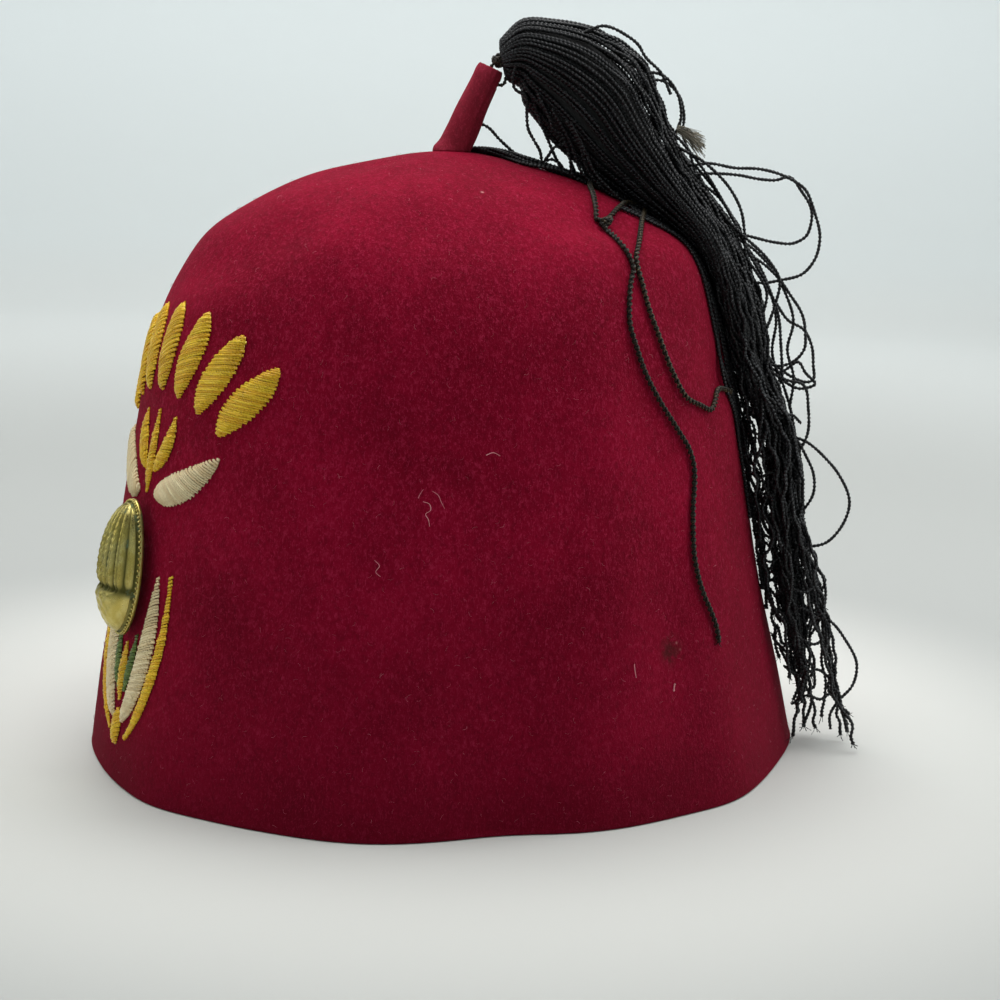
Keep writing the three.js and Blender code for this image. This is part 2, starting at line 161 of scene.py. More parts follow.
def crown_at(bearing, up, off=0.0):
    """Points on the crown's outer face, or off it by a distance, and the normals there."""
    bearing = np.asarray(bearing, float)
    up = np.asarray(up, float)
    normal = smooth_normal(bearing, up)
    out = relief(bearing, up) + off
    return smooth_crown(bearing, up) + normal * out[..., None], normal


# The photograph's camera, in millimetres and degrees

VIEW_BEARING = 62
VIEW_DISTANCE = 555.7
VIEW_HEIGHT = 178.9
VIEW_SIDE = 12.75
VIEW_DOWN = 11.29
VIEW_ROLL = 1.96
LENS = 72
SENSOR = 36

# Directions: towards the camera over the floor, to the picture's right, and up.
OUTWARD = np.array([math.sin(math.radians(VIEW_BEARING)), -math.cos(math.radians(VIEW_BEARING)), 0])
ACROSS = np.array([math.cos(math.radians(VIEW_BEARING)), math.sin(math.radians(VIEW_BEARING)), 0])
UPWARD = np.array([0, 0, 1.0])


def in_plane(reach, height, depth=0.0):
    """A point of the upright plane across the view: reach to the right, height, and depth
    towards the eye."""
    return (
        np.multiply.outer(reach, ACROSS)
        + np.multiply.outer(height, UPWARD)
        + np.multiply.outer(depth, OUTWARD)
    )


# Meshes

def placed(name, data):
    """A new object in the scene."""
    made = bpy.data.objects.new(name, data)
    bpy.context.scene.collection.objects.link(made)
    return made


def modified(name, source):
    """The mesh that an object's modifiers make, in a new object that takes the old one's place."""
    graph = bpy.context.evaluated_depsgraph_get()
    mesh = bpy.data.meshes.new_from_object(
        source.evaluated_get(graph), preserve_all_data_layers=True, depsgraph=graph
    )
    bpy.data.objects.remove(source)
    return placed(name, mesh)


def point_values(mesh, label, values):
    """Gives a mesh a number at each of its points."""
    layer = mesh.attributes.new(label, "FLOAT", "POINT")
    layer.data.foreach_set("value", values.astype(np.float32))


def mesh_object(name, points, faces):
    """A smooth-shaded object from points in millimetres."""
    mesh = bpy.data.meshes.new(name)
    mesh.from_pydata((np.asarray(points) * MM).tolist(), [], [tuple(map(int, f)) for f in faces])
    mesh.validate()
    mesh.polygons.foreach_set("use_smooth", [True] * len(mesh.polygons))
    return placed(name, mesh)


def grid_faces(rows, columns):
    """Quads between rings of points, each ring running the same way round and closing on itself."""
    i, j = np.meshgrid(np.arange(rows - 1), np.arange(columns), indexing="ij")
    a = (i * columns + j).ravel()
    b = (i * columns + (j + 1) % columns).ravel()
    return np.stack([a, b, b + columns, a + columns], axis=1)


def capped(rings):
    """Points and faces of a closed body through rings, with a middle point at both ends."""
    rows, columns = rings.shape[:2]
    points = np.concatenate([rings.reshape(-1, 3), [rings[0].mean(0)], [rings[-1].mean(0)]])
    faces = grid_faces(rows, columns).tolist()
    first = rows * columns
    last = (rows - 1) * columns
    for j in range(columns):
        k = (j + 1) % columns
        faces.append((first, k, j))
        faces.append((first + 1, last + j, last + k))
    return points, faces


def joined(bodies):
    """One list of points and one of faces from many."""
    points, faces, start = [], [], 0
    for body_points, body_faces in bodies:
        points.append(body_points)
        faces.extend(tuple(start + v for v in face) for face in body_faces)
        start += len(body_points)
    return np.concatenate(points), faces


def finished(piece, material, slot, *nodes):
    """Gives a piece its material and its place in the frame."""
    if material is not None:
        piece.data.materials.clear()
        piece.data.materials.append(material)
    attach(piece, BODY)
    if nodes:
        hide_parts(*nodes)
    return piece


# Shader maths

class Value:
    """A socket that adds its own Math nodes."""

    def __init__(self, tree, socket):
        self.tree = tree
        self.socket = socket

    def maths(self, operation, *others):
        return self.tree.node("ShaderNodeMath", {"operation": operation}, (self, *others))

    def __add__(self, other):
        return self.maths("ADD", other)

    def __sub__(self, other):
        return self.maths("SUBTRACT", other)

    def __mul__(self, other):
        return self.maths("MULTIPLY", other)

    def __truediv__(self, other):
        return self.maths("DIVIDE", other)

    def __rsub__(self, other):
        return self.tree.node("ShaderNodeMath", {"operation": "SUBTRACT"}, (other, self))

    __radd__ = __add__
    __rmul__ = __mul__

    def clamped(self):
        return self.maths("MAXIMUM", 0.0).maths("MINIMUM", 1.0)


class Graph:
    """Nodes and links. node() makes any node: its settings first, then its sockets."""

    def __init__(self, tree):
        self.nodes = tree.nodes
        self.links = tree.links

    def set(self, node, key, value):
        socket = node.inputs[key]
        if isinstance(value, Value):
            self.links.new(value.socket, socket)
        else:
            socket.default_value = value

    def node(self, kind, settings=None, sockets=(), output=0):
        made = self.nodes.new(kind)
        for name, value in (settings or {}).items():
            if name == "stops":
                ramp = made.color_ramp.elements
                while len(ramp) < len(value):
                    ramp.new(0.5)
                for element, (position, colour) in zip(ramp, value):
                    element.position = position
                    element.color = colour
            else:
                setattr(made, name, value)
        items = sockets.items() if isinstance(sockets, dict) else enumerate(sockets)
        for key, value in items:
            self.set(made, key, value)
        return Value(self, made.outputs[output])


class Recipe(Graph):
    """A Geometry Nodes tree with named inputs, run on an object and left as a plain mesh."""

    KINDS = {float: "NodeSocketFloat", int: "NodeSocketInt", type(None): "NodeSocketMaterial"}

    def __init__(self, name, **inputs):
        self.group = bpy.data.node_groups.new(name, "GeometryNodeTree")
        super().__init__(self.group)
        face = self.group.interface
        face.new_socket("Geometry", in_out="INPUT", socket_type="NodeSocketGeometry")
        face.new_socket("Geometry", in_out="OUTPUT", socket_type="NodeSocketGeometry")
        self.sockets = {}
        for label, value in inputs.items():
            kind = self.KINDS[type(value)]
            socket = face.new_socket(label, in_out="INPUT", socket_type=kind)
            self.sockets[label] = (socket.identifier, value)
        self.start = self.nodes.new("NodeGroupInput")
        self.end = self.nodes.new("NodeGroupOutput")

    def input(self, label):
        return Value(self, self.start.outputs[label])

    def attribute(self, name):
        return self.node("GeometryNodeInputNamedAttribute", {}, {"Name": name})

    def ring(self, sides, radius):
        sockets = {"Resolution": sides, "Radius": radius}
        return self.node("GeometryNodeCurvePrimitiveCircle", {}, sockets)

    def chance(self, least, most, seed):
        """A number at random for each point, between two."""
        sockets = {2: least, 3: most, "Seed": seed}
        return self.node("FunctionNodeRandomValue", {"data_type": "FLOAT"}, sockets, 1)

    def twist(self, profile):
        """Bodies with a profile that turns along the object's open lines; girth scales it and
        phase turns it, point by point."""
        lines = self.node("GeometryNodeMeshToCurve", {}, {"Mesh": self.input("Geometry")})
        sockets = {"Curve": lines, "Length": self.input("Step")}
        fine = self.node("GeometryNodeResampleCurve", {"mode": "LENGTH"}, sockets)
        along = self.node("GeometryNodeSplineParameter", output="Length")
        turn = along / self.input("Twist") * math.tau + self.attribute("phase")
        sockets = {
            "Curve": self.node("GeometryNodeSetCurveTilt", {}, {"Curve": fine, "Tilt": turn}),
            "Profile Curve": profile,
            "Scale": self.attribute("girth"),
            "Fill Caps": True,
        }
        self.dress(self.node("GeometryNodeCurveToMesh", {}, sockets))
        return self

    def dress(self, geometry):
        """Makes the geometry the tree's result, smooth and with the material."""
        whole = self.node("GeometryNodeRealizeInstances", {}, (geometry,))
        smooth = self.node("GeometryNodeSetShadeSmooth", {}, (whole,))
        sockets = {"Geometry": smooth, "Material": self.input("Material")}
        dressed = self.node("GeometryNodeSetMaterial", {}, sockets)
        self.links.new(dressed.socket, self.end.inputs[0])

    def make(self, name, source, **changed):
        """The mesh that the tree makes of a source object, which is used up."""
        modifier = source.modifiers.new(name, "NODES")
        modifier.node_group = self.group
        for label, (identifier, value) in self.sockets.items():
            modifier[identifier] = changed.get(label, value)
        return modified(name, source)


class Finish(Graph):
    """A material being built on its Principled shader."""

    def __init__(self, name, **constants):
        self.material = bpy.data.materials.new(name)
        self.material.use_nodes = True
        super().__init__(self.material.node_tree)
        self.shader = self.nodes["Principled BSDF"]
        for socket, value in constants.items():
            self.set(self.shader, socket.replace("_", " "), value)

    def place(self, scale=None):
        """Where a point lies on its object, or that place scaled along each axis."""
        coordinates = self.node("ShaderNodeTexCoord", output="Object")
        if scale is None:
            return coordinates
        return self.node("ShaderNodeMapping", {}, {"Vector": coordinates, "Scale": scale})

    def coordinate(self, axis):
        return self.node("ShaderNodeSeparateXYZ", {}, (self.place(),), output=axis)

    def noise(self, scale, detail=4.0, roughness=0.5, distortion=0.0, vector=None):
        sockets = {
            "Vector": vector or self.place(),
            "Scale": scale,
            "Detail": detail,
            "Roughness": roughness,
            "Distortion": distortion,
        }
        return self.node("ShaderNodeTexNoise", {}, sockets)

    def attribute(self, name):
        return self.node("ShaderNodeAttribute", {"attribute_name": name}, output="Fac")

    def band(self, value, low, high):
        """0 below low, 1 above high and smooth between."""
        return self.node(
            "ShaderNodeMapRange", {"interpolation_type": "SMOOTHSTEP"}, (value, low, high, 0.0, 1.0)
        )

    def mix(self, factor, first, second):
        sockets = {0: factor, 6: first, 7: second}
        return self.node("ShaderNodeMix", {"data_type": "RGBA"}, sockets, 2)

    def near(self, point, radius, soft):
        """1 within a radius of a point in millimetres, fading to 0 over a soft edge."""
        away = self.node(
            "ShaderNodeVectorMath",
            {"operation": "DISTANCE"},
            (self.place(), tuple(np.asarray(point) * MM)),
            output="Value",
        )
        return 1.0 - self.band(away, (radius - soft) * MM, (radius + soft) * MM)

    def bump(self, height, distance, strength, normal=None):
        sockets = {"Strength": strength, "Distance": distance, "Height": height}
        if normal:
            sockets["Normal"] = normal
        return self.node("ShaderNodeBump", {}, sockets)

    def done(self, **links):
        for socket, value in links.items():
            self.set(self.shader, socket.replace("_", " "), value)
        return self.material


def colour(red, green, blue):
    """A screen colour from 0 to 255, as the shader's own."""
    def linear(v):
        v = v / 255
        return v / 12.92 if v <= 0.04045 else ((v + 0.055) / 1.055) ** 2.4
    return (linear(red), linear(green), linear(blue), 1.0)


# The stain's place, and the pale specks of lint: bearing, distance up the wall, radius, strength.
STAIN_AT = (16.5, 43)
SPECKS = [
    (17.9, 44.5, 0.3, 0.22),
    (18.5, 42.6, 0.25, 0.16),
    (-12, 176, 0.4, 0.6),
]
CRIMSON = colour(145, 7, 42)
DEEP_CRIMSON = colour(117, 3, 29)
PALE_CRIMSON = colour(180, 44, 78)
DARK_CRIMSON = colour(74, 1, 12)


def felt_finish(name="wool_felt", on_stem=False):
    felt = Finish(
        name,
        Sheen_Weight=0.06,
        Sheen_Roughness=0.5,
        Sheen_Tint=colour(230, 80, 100),
        Specular_IOR_Level=0.06,
    )
    clouds = felt.noise(26, 4, 0.62)
    patches = felt.noise(110, 4, 0.65)
    brushed = felt.noise(760, 4, 0.7, 0.6, felt.place((1.0, 1.0, 0.72)))
    fibres = felt.noise(2100, 3, 0.7, 1.2, felt.place((1.0, 1.0, 0.5)))
    shade = felt.mix(felt.band(clouds, 0.27, 0.73), DEEP_CRIMSON, CRIMSON)
    shade = felt.mix(felt.band(patches, 0.5, 0.75) * 0.22, shade, DARK_CRIMSON)
    shade = felt.mix(felt.band(brushed, 0.5, 0.36) * 0.3, shade, DARK_CRIMSON)
    shade = felt.mix(felt.band(brushed, 0.53, 0.68) * 0.36, shade, PALE_CRIMSON)
    shade = felt.mix(felt.band(fibres, 0.52, 0.66) * 0.62, shade, PALE_CRIMSON)
    if on_stem:
        shade = felt.mix(0.16, shade, colour(176, 96, 104))
    else:
        shade = stains_and_shade(felt, shade, clouds)
    rough = felt.band(brushed, 0.3, 0.7) * 0.08 + 0.86
    coarse = felt.bump(brushed, 0.0005, 0.6)
    normal = felt.bump(fibres, 0.0003, 0.6, coarse)
    return felt.done(Base_Color=shade, Roughness=rough, Normal=normal)


def stains_and_shade(felt, shade, clouds):
    """Marks on the crown: darker along the bottom edge, painted shade over the lower wall, a stain
    on the near side and a few pale specks.
    """
    height = felt.coordinate("Z")
    # darker in a narrow band along the bottom edge
    hem = (1.0 - felt.band(height + clouds * 0.012, 0.004, 0.034)) * 0.36
    shade = felt.mix(hem, shade, colour(72, 2, 14))
    # painted shade: the wall darker below about 110 mm up, most below 30 mm
    lower_wall_shade = (1.0 - felt.band(height + clouds * 0.03, 0.03, 0.11)) * 0.4
    shade = felt.mix(lower_wall_shade, shade, colour(78, 2, 20))
    stain, _ = crown_at(*STAIN_AT)
    ragged = felt.noise(420, 4, 0.7)
    spot = felt.near(stain, 3.9, 1.9) * felt.band(ragged, 0.36, 0.56)
    core = felt.near(stain + np.array([0.3, -0.4, -0.5]), 2.2, 1.2) * felt.band(ragged, 0.3, 0.5)
    shade = felt.mix(spot * 0.5, shade, colour(78, 28, 28))
    shade = felt.mix(core * 0.62, shade, colour(58, 26, 24))
    for bearing, up, radius, strength in SPECKS:
        speck, _ = crown_at(bearing, up)
        shade = felt.mix(felt.near(speck, radius, 0.3) * strength, shade, colour(232, 168, 168))
    return shade


def lint_finish():
    lint = Finish("felt_lint", Roughness=0.8, Sheen_Weight=0.3)
    stops = [
        (0.0, colour(104, 6, 30)),
        (0.55, colour(146, 24, 54)),
        (0.9, colour(178, 62, 92)),
        (1.0, colour(206, 126, 144)),
    ]
    shade = lint.node("ShaderNodeValToRGB", {"stops": stops}, (lint.attribute("tone"),))
    return lint.done(Base_Color=shade)


def cord_finish(name, dark, light, shine, bead=1.15):
    """Twisted cord, with a rounded bead at each half turn of its twist, a painted highlight on each
    bead's crest and painted shade in the grooves between beads.
    """
    cord = Finish(name, Roughness=0.5, Specular_IOR_Level=shine)
    fibres = cord.noise(2600, 2, 0.6, 1.0)
    tone = cord.attribute("tone")
    turn = cord.attribute("along") * (math.pi / bead) + cord.attribute("phase")
    swell = turn.maths("SINE").maths("ABSOLUTE")
    groove = cord.band(swell, 0.55, 0.1)
    # painted highlight: the light colour grows towards each bead's crest, along with the fibres and
    # the cord's tone
    lit = cord.band(fibres, 0.4, 0.75) * (0.35 + 0.65 * tone) * (0.3 + 0.7 * swell)
    shade = cord.mix(lit, dark, light)
    # painted shade: the grooves between beads darkened almost to black
    shade = cord.mix(groove * 0.8, shade, (0.0005, 0.0005, 0.0006, 1.0))
    rough = cord.band(fibres, 0.3, 0.7) * 0.2 + groove * 0.3 + 0.34
    normal = cord.bump(fibres, 0.0001, 0.5, cord.bump(swell, 0.0004, 0.9))
    return cord.done(Base_Color=shade, Roughness=rough, Normal=normal)


def hair_finish(name, dark, light):
    hair = Finish(name, Roughness=0.6, Specular_IOR_Level=0.3)
    tone = hair.attribute("tone") * 0.7 + hair.noise(1800, 2, 0.5) * 0.5
    return hair.done(Base_Color=hair.mix(tone.clamped(), dark, light))


def thread_finish(name, lit, mid, dark):
    thread = Finish(name, Roughness=0.34, Specular_IOR_Level=0.5, Sheen_Weight=0.05)
    tone = thread.attribute("tone")
    fibres = thread.noise(2200, 2, 0.55, 0.6)
    grime = thread.noise(120, 4, 0.6)
    shade = thread.mix(tone, mid, lit)
    shade = thread.mix(thread.band(fibres, 0.56, 0.34) * 0.22, shade, dark)
    shade = thread.mix(thread.band(grime, 0.55, 0.7) * 0.25, shade, dark)
    rough = thread.band(fibres, 0.3, 0.7) * 0.2 + 0.28
    return thread.done(Base_Color=shade, Roughness=rough, Normal=thread.bump(fibres, 0.0001, 0.3))


def brass_finish():
    brass = Finish("worn_brass", Specular_IOR_Level=0.5)
    low = brass.attribute("hollow")
    patches = brass.noise(160, 5, 0.65, 0.4)
    pits = brass.noise(1400, 4, 0.6)
    bright = brass.mix(brass.band(patches, 0.4, 0.62), colour(190, 172, 92), colour(216, 201, 127))
    tarnish = (low * 1.1 + brass.band(patches, 0.5, 0.72) * 0.55).clamped()
    shade = brass.mix(tarnish, bright, colour(84, 81, 36))
    green = brass.band(patches, 0.56, 0.7) * brass.band(low, 0.15, 0.7)
    shade = brass.mix(green * 0.8, shade, colour(104, 132, 104))
    rough = tarnish * 0.34 + brass.band(pits, 0.4, 0.7) * 0.08 + 0.2
    metal = 1.0 - green * 0.7 - tarnish * 0.15
    normal = brass.bump(pits, 0.0001, 0.3, brass.bump(patches, 0.0004, 0.25))
    return brass.done(Base_Color=shade, Roughness=rough, Metallic=metal, Normal=normal)


FELT = felt_finish()


# The crown

CROWN_COLUMNS = 336
OUTER_ROWS = 146
INNER_ROWS = 36
RIM_ROUND = 0.45


def crown_rings():
    """Rings from the inner top down to the rim, round its cut edge and up the outer face."""
    bearings = np.arange(CROWN_COLUMNS) * 360 / CROWN_COLUMNS
    rings = []

    def ring(up, off, height=None):
        points, _ = crown_at(bearings, np.full_like(bearings, up), off)
        if height is not None:
            points[:, 2] = height
        rings.append(points)

    for up in np.linspace(CROWN_UP * 0.985, 2, INNER_ROWS):
        ring(up, -FELT_WALL)
    for turn in np.linspace(0, math.pi / 2, 4):
        ring(0, -FELT_WALL + RIM_ROUND * (1 - math.cos(turn)), RIM_ROUND * (1 - math.sin(turn)))
    for share in (0.3, 0.6):
        ring(0, (share - 1) * (FELT_WALL - 2 * RIM_ROUND) - RIM_ROUND, 0)
    for turn in np.linspace(math.pi / 2, 0, 4):
        ring(0, -RIM_ROUND * (1 - math.cos(turn)), RIM_ROUND * (1 - math.sin(turn)))
    for up in np.linspace(1.2, CROWN_UP * 0.993, OUTER_ROWS):
        ring(up, 0)
    return np.array(rings)


def make_crown():
    points, faces = capped(crown_rings())
    return finished(mesh_object("felt_crown", points, faces), FELT, "felt", "crown")


crown = make_crown()
CROWN_TREE = BVHTree.FromPolygons(
    [v.co for v in crown.data.vertices], [p.vertices for p in crown.data.polygons]
)


def clear_of_crown(points, gap):
    """Moves points in millimetres that lie nearer the crown's face than a gap out to that gap."""
    moved = np.array(points, float)
    for k, point in enumerate(moved):
        at = Vector(point * MM)
        near, normal, _, _ = CROWN_TREE.find_nearest(at)
        out = (at - near).dot(normal)
        if out < gap * MM:
            moved[k] = np.array(near + normal * (gap * MM)) / MM
    return moved


# Lines and cords

def through(stations, spacing):
    """Smooth curves through stations, the first axis, with a point about every spacing."""
    stations = np.asarray(stations, float)
    gaps = np.linalg.norm(np.diff(stations, axis=0), axis=-1).reshape(len(stations) - 1, -1).mean(1)
    at = np.concatenate([[0], np.cumsum(gaps)])

    def upright(values):
        return values.reshape((-1,) + (1,) * (stations.ndim - 1))

    rate = np.diff(stations, axis=0) / upright(gaps)
    slope = np.empty_like(stations)
    slope[0], slope[-1] = rate[0], rate[-1]
    before, after = upright(gaps[:-1]), upright(gaps[1:])
    slope[1:-1] = (rate[:-1] * after + rate[1:] * before) / (before + after)
    far = np.linspace(0, at[-1], int(at[-1] / spacing) + 2)
    i = np.clip(np.searchsorted(at, far, side="right") - 1, 0, len(gaps) - 1)
    x, h = upright((far - at[i]) / gaps[i]), upright(gaps[i])
    return between(stations, slope, i, x, h)


def lines_object(name, lines, **values):
    """An object of open lines in millimetres, with a float attribute per named list of arrays."""
    points = np.concatenate(lines)
    last = set(np.cumsum([len(line) for line in lines]) - 1)
    edges = [(i, i + 1) for i in range(len(points) - 1) if i not in last]
    mesh = bpy.data.meshes.new(name)
    mesh.from_pydata((points * MM).tolist(), edges, [])
    for label, arrays in values.items():
        point_values(mesh, label, np.concatenate(arrays))
    return placed(name, mesh)


def yarn_recipe():
    """Flat yarn, twisted."""
    yarn = Recipe("yarn", Width=0.0, Thickness=0.0, Twist=1.0, Step=0.0, Sides=4, Material=None)
    size = yarn.node(
        "ShaderNodeCombineXYZ", {}, (yarn.input("Width"), yarn.input("Thickness"), 1.0)
    )
    sockets = {"Geometry": yarn.ring(yarn.input("Sides"), 0.5), "Scale": size}
    return yarn.twist(yarn.node("GeometryNodeTransform", {}, sockets))


def ply_recipe():
    """Two round plies, twisted together."""
    pair = Recipe("two_ply", Ply=0.0, Apart=0.0, Twist=1.0, Step=0.0, Sides=6, Material=None)
    ring = pair.ring(pair.input("Sides"), pair.input("Ply") * 0.5)
    half = pair.input("Apart") * 0.5
    plies = []
    for side in (1.0, -1.0):
        place = pair.node("ShaderNodeCombineXYZ", {}, (half * side, 0.0, 0.0))
        sockets = {"Geometry": ring, "Translation": place}
        plies.append(pair.node("GeometryNodeTransform", {}, sockets))
    profile = pair.node("GeometryNodeJoinGeometry", {}, (plies[0],))
    pair.links.new(plies[1].socket, profile.socket.node.inputs[0])
    return pair.twist(profile)


YARN = yarn_recipe()
TWO_PLY = ply_recipe()
BLACK_CORD = cord_finish("black_cord", colour(4, 4, 6), colour(26, 28, 38), 0.5)
BROWN_CORD = cord_finish("brown_black_cord", colour(16, 13, 10), colour(66, 56, 44), 0.3)
LAID_CORD = cord_finish("laid_cord", colour(17, 14, 10), colour(132, 114, 82), 0.3, 1.65)
TIE_CORD = cord_finish("tie_cord", colour(38, 35, 30), colour(122, 114, 100), 0.25)
BRUSH_HAIR = hair_finish("brush_hair", colour(74, 69, 60), colour(186, 178, 160))
CORD_WIDE = 1.18
CORD_THIN = 0.76
CORD_TWIST = 2.3
CORD_STEP = 0.385
PLY_WIDE = 0.88
PLY_APART = 0.68
PLY_TWIST = 3.3


def cords(name, lines, material, scale=1.0, step=CORD_STEP, seed=1, fray=0.0, plied=False):
    """A piece of twisted cords along lines, each with its own tone and turn of twist."""
    chance = np.random.default_rng(seed)
    girth, phase, tone, along = [], [], [], []
    for line in lines:
        count = len(line)
        steps = np.linalg.norm(np.diff(line, axis=0), axis=1)
        far = np.concatenate([[0], np.cumsum(steps)])
        along.append(far / scale)
        girth.append(scale * (1 + fray * np.clip(1 - (far[-1] - far) / 2.5, 0, 1)))
        phase.append(np.full(count, chance.uniform(0, math.tau)))
        tone.append(np.full(count, chance.uniform(0, 1)))
    source = lines_object(
        name + "_lines", lines, girth=girth, phase=phase, tone=tone, along=along
    )
    if plied:
        return TWO_PLY.make(
            name,
            source,
            Ply=PLY_WIDE * MM,
            Apart=PLY_APART * MM,
            Twist=PLY_TWIST * MM,
            Step=step * MM,
            Material=material,
        )
    return YARN.make(
        name,
        source,
        Width=CORD_WIDE * MM,
        Thickness=CORD_THIN * MM,
        Twist=CORD_TWIST * scale * MM,
        Step=step * MM,
        Material=material,
    )


# The tassel: its bundle of cords from the knot over the arch and down the wall

TASSEL_WALL_BEARING = 60
KNOT_AT = (10.2, 188.4)
# Stations of the arch: reach, height, half thickness and half depth.
TASSEL_ARCH = [
    (10.9, 191, 6.4, 4.8),
    (14.6, 192.2, 8.4, 6.8),
    (20, 190.9, 10.4, 9),
    (28.5, 187, 13.2, 11),
    (37, 180.5, 14.4, 13),
    (44.2, 170.6, 12, 14),
    (52, 160.8, 8.8, 15),
]
# Stations on the wall: distance up it, half thickness and half depth.
TASSEL_FALL = [(142, 5.4, 16), (125, 5.4, 16), (106, 5.2, 15), (93, 5, 14)]
# How many of them the cords follow before they part into locks.
BUNDLED = 2
NET_HEIGHTS = (103, 96, 89, 82, 75, 68, 61, 54, 47, 40, 33, 26, 19, 12, 5, -2)
NET_DEPTH = 12.5
# The locks that the cords hang in down the wall, from the crown outwards: how many cords start in
# each, how wide it is, and its course as reach and height in the tassel's plane.
LOCKS = [
    (4, 0.6, [(77.4, 104.5), (78.6, 96), (81.2, 86), (83.2, 73.5), (85.4, 63), (87.9, 52),
              (90.6, 41), (94.5, 29), (97.4, 17), (99.8, 8)]),
    (4, 0.6, [(78.3, 104.5), (80.7, 96.6), (84.4, 80), (86, 68.3), (87.5, 59.5), (89, 48.4),
              (92.4, 38.7), (96.3, 29), (98.7, 17.7)]),
    (5, 0.7, [(79.5, 104.5), (82.4, 96.7), (87.2, 86), (88.6, 75.8), (87.6, 67), (89.6, 62.5),
              (93, 44), (96.4, 34.3), (99.2, 23), (99.4, 8)]),
    (7, 0.8, [(80.8, 104.6), (84.2, 96.8), (89.6, 81), (90.3, 70.7), (91.4, 61), (92.6, 52),
              (95.4, 42), (97.6, 30.6), (100.8, 18.6), (100, 4)]),
    (17, 1.4, [(82.2, 104.6), (86.2, 96.8), (91.2, 80.3), (92.3, 68.6), (94, 57.5), (96.9, 46.4),
               (98.4, 34.4), (100.6, 22.4), (101.9, 1)]),
    (18, 1.5, [(83.6, 104.7), (87.6, 96.9), (93, 80.3), (94.1, 68.6), (95.8, 57.6), (98.7, 46.5),
               (100.5, 35.3), (102, 23.2), (104.9, 12.6), (104.8, 2.6)]),
    (18, 1.4, [(85, 104.7), (89, 96.9), (94.6, 80.4), (95.7, 68.7), (98, 57.6), (101.2, 46.6),
               (102.7, 35.3), (104.9, 23.3), (106, 11.9), (109.9, 3.5)]),
    (12, 1.1, [(86.5, 104.8), (90.2, 97), (95.9, 80.4), (97, 68.7), (99.4, 57.7), (102.6, 48),
               (104.8, 37), (107.4, 25), (109.6, 13.5), (108.1, 8)]),
    (4, 0.5, [(87.3, 104.8), (91, 97), (96.6, 80.5), (97.8, 68.8), (99.8, 57.7), (103.4, 46.6),
              (107, 36.2), (109, 24), (111.9, 12.8), (117, 3)]),
    (4, 0.5, [(87.7, 104.8), (91.4, 97), (96.9, 80.5), (98, 68.8), (100.5, 57.7), (105.4, 49.7),
              (105.8, 40.7), (109.6, 30.3), (111.3, 18.2), (113.6, 6.5)]),
]
SURFACE_CORDS = 80
# How likely a cord is to change locks from one height to the next, and to end in a hook.
LOCK_CHANGE = 0.13
HOOKED = 0.16
COURSE_STEP = 1.6
# Waves of the cords: length and size.
CORD_WAVES = ((42, 0.5), (21, 0.4), (11, 0.34), (7, 0.26))
# Where the cords end, for the locks next to the crown, in the middle and outside, and the first
# lock of the middle and of the outside.
LOCK_GROUPS = (4, 8)
END_HEIGHTS = [
    [(60, 84), (42, 66), (30, 46), (14, 34), (16, 28), (9, 18)],
    [(56, 74), (52, 66), (54, 70), (50, 62), (30, 50), (22, 40), (10, 24), (8, 18), (1, 9)],
    [(48, 62), (26, 44), (1, 10), (2, 12), (0.9, 7)],
]
TASSEL_PIECES = 4


def arch_point(k, thick, depth):
    """A point of the arch's section k, for shares of its half thickness and half depth."""
    reach, height, half_thick, half_depth = TASSEL_ARCH[k]
    before = TASSEL_ARCH[max(k - 1, 0)]
    after = TASSEL_ARCH[min(k + 1, len(TASSEL_ARCH) - 1)]
    across = math.pi / 2
    if k > 0:
        across += math.atan2(after[1] - before[1], after[0] - before[0])
    sunk = thick - 0.35 * np.clip(-thick - 0.3, 0, 1) * min(k / 2, 1)
    return in_plane(
        reach + math.cos(across) * half_thick * sunk,
        height + math.sin(across) * half_thick * sunk,
        half_depth * depth,
    )


def fall_point(k, thick, depth):
    """The same for the fall on the wall, its thickness measured from the felt."""
    up, half_thick, half_depth = TASSEL_FALL[k]
    bearing = TASSEL_WALL_BEARING - np.degrees(half_depth * depth / section("reach", up))
    return crown_at(bearing, up, GAP + CORD_WIDE / 2 + half_thick * (thick + 1))[0]


def arch_stations(thick, depth):
    """The knot, the turn out of it and the arch, for shares of the thickness and depth."""
    knot = in_plane(KNOT_AT[0] + 0 * thick, KNOT_AT[1] + 1.2 * thick, 1.2 * depth)
    lift = np.clip(thick, -1, 1)
    turn = in_plane(KNOT_AT[0] - 0.7 - 1.0 * lift, KNOT_AT[1] + 1.6 + 4.2 * lift, 3 * depth)
    return [knot, turn] + [arch_point(k, thick, depth) for k in range(len(TASSEL_ARCH))]


def seen_at(reach, height, depth):
    """A point on the line of sight through the tassel's plane, nearer the camera by a depth."""
    near = 1 - depth / VIEW_DISTANCE
    return in_plane(
        VIEW_SIDE + (reach - VIEW_SIDE) * near, VIEW_HEIGHT + (height - VIEW_HEIGHT) * near, depth
    )


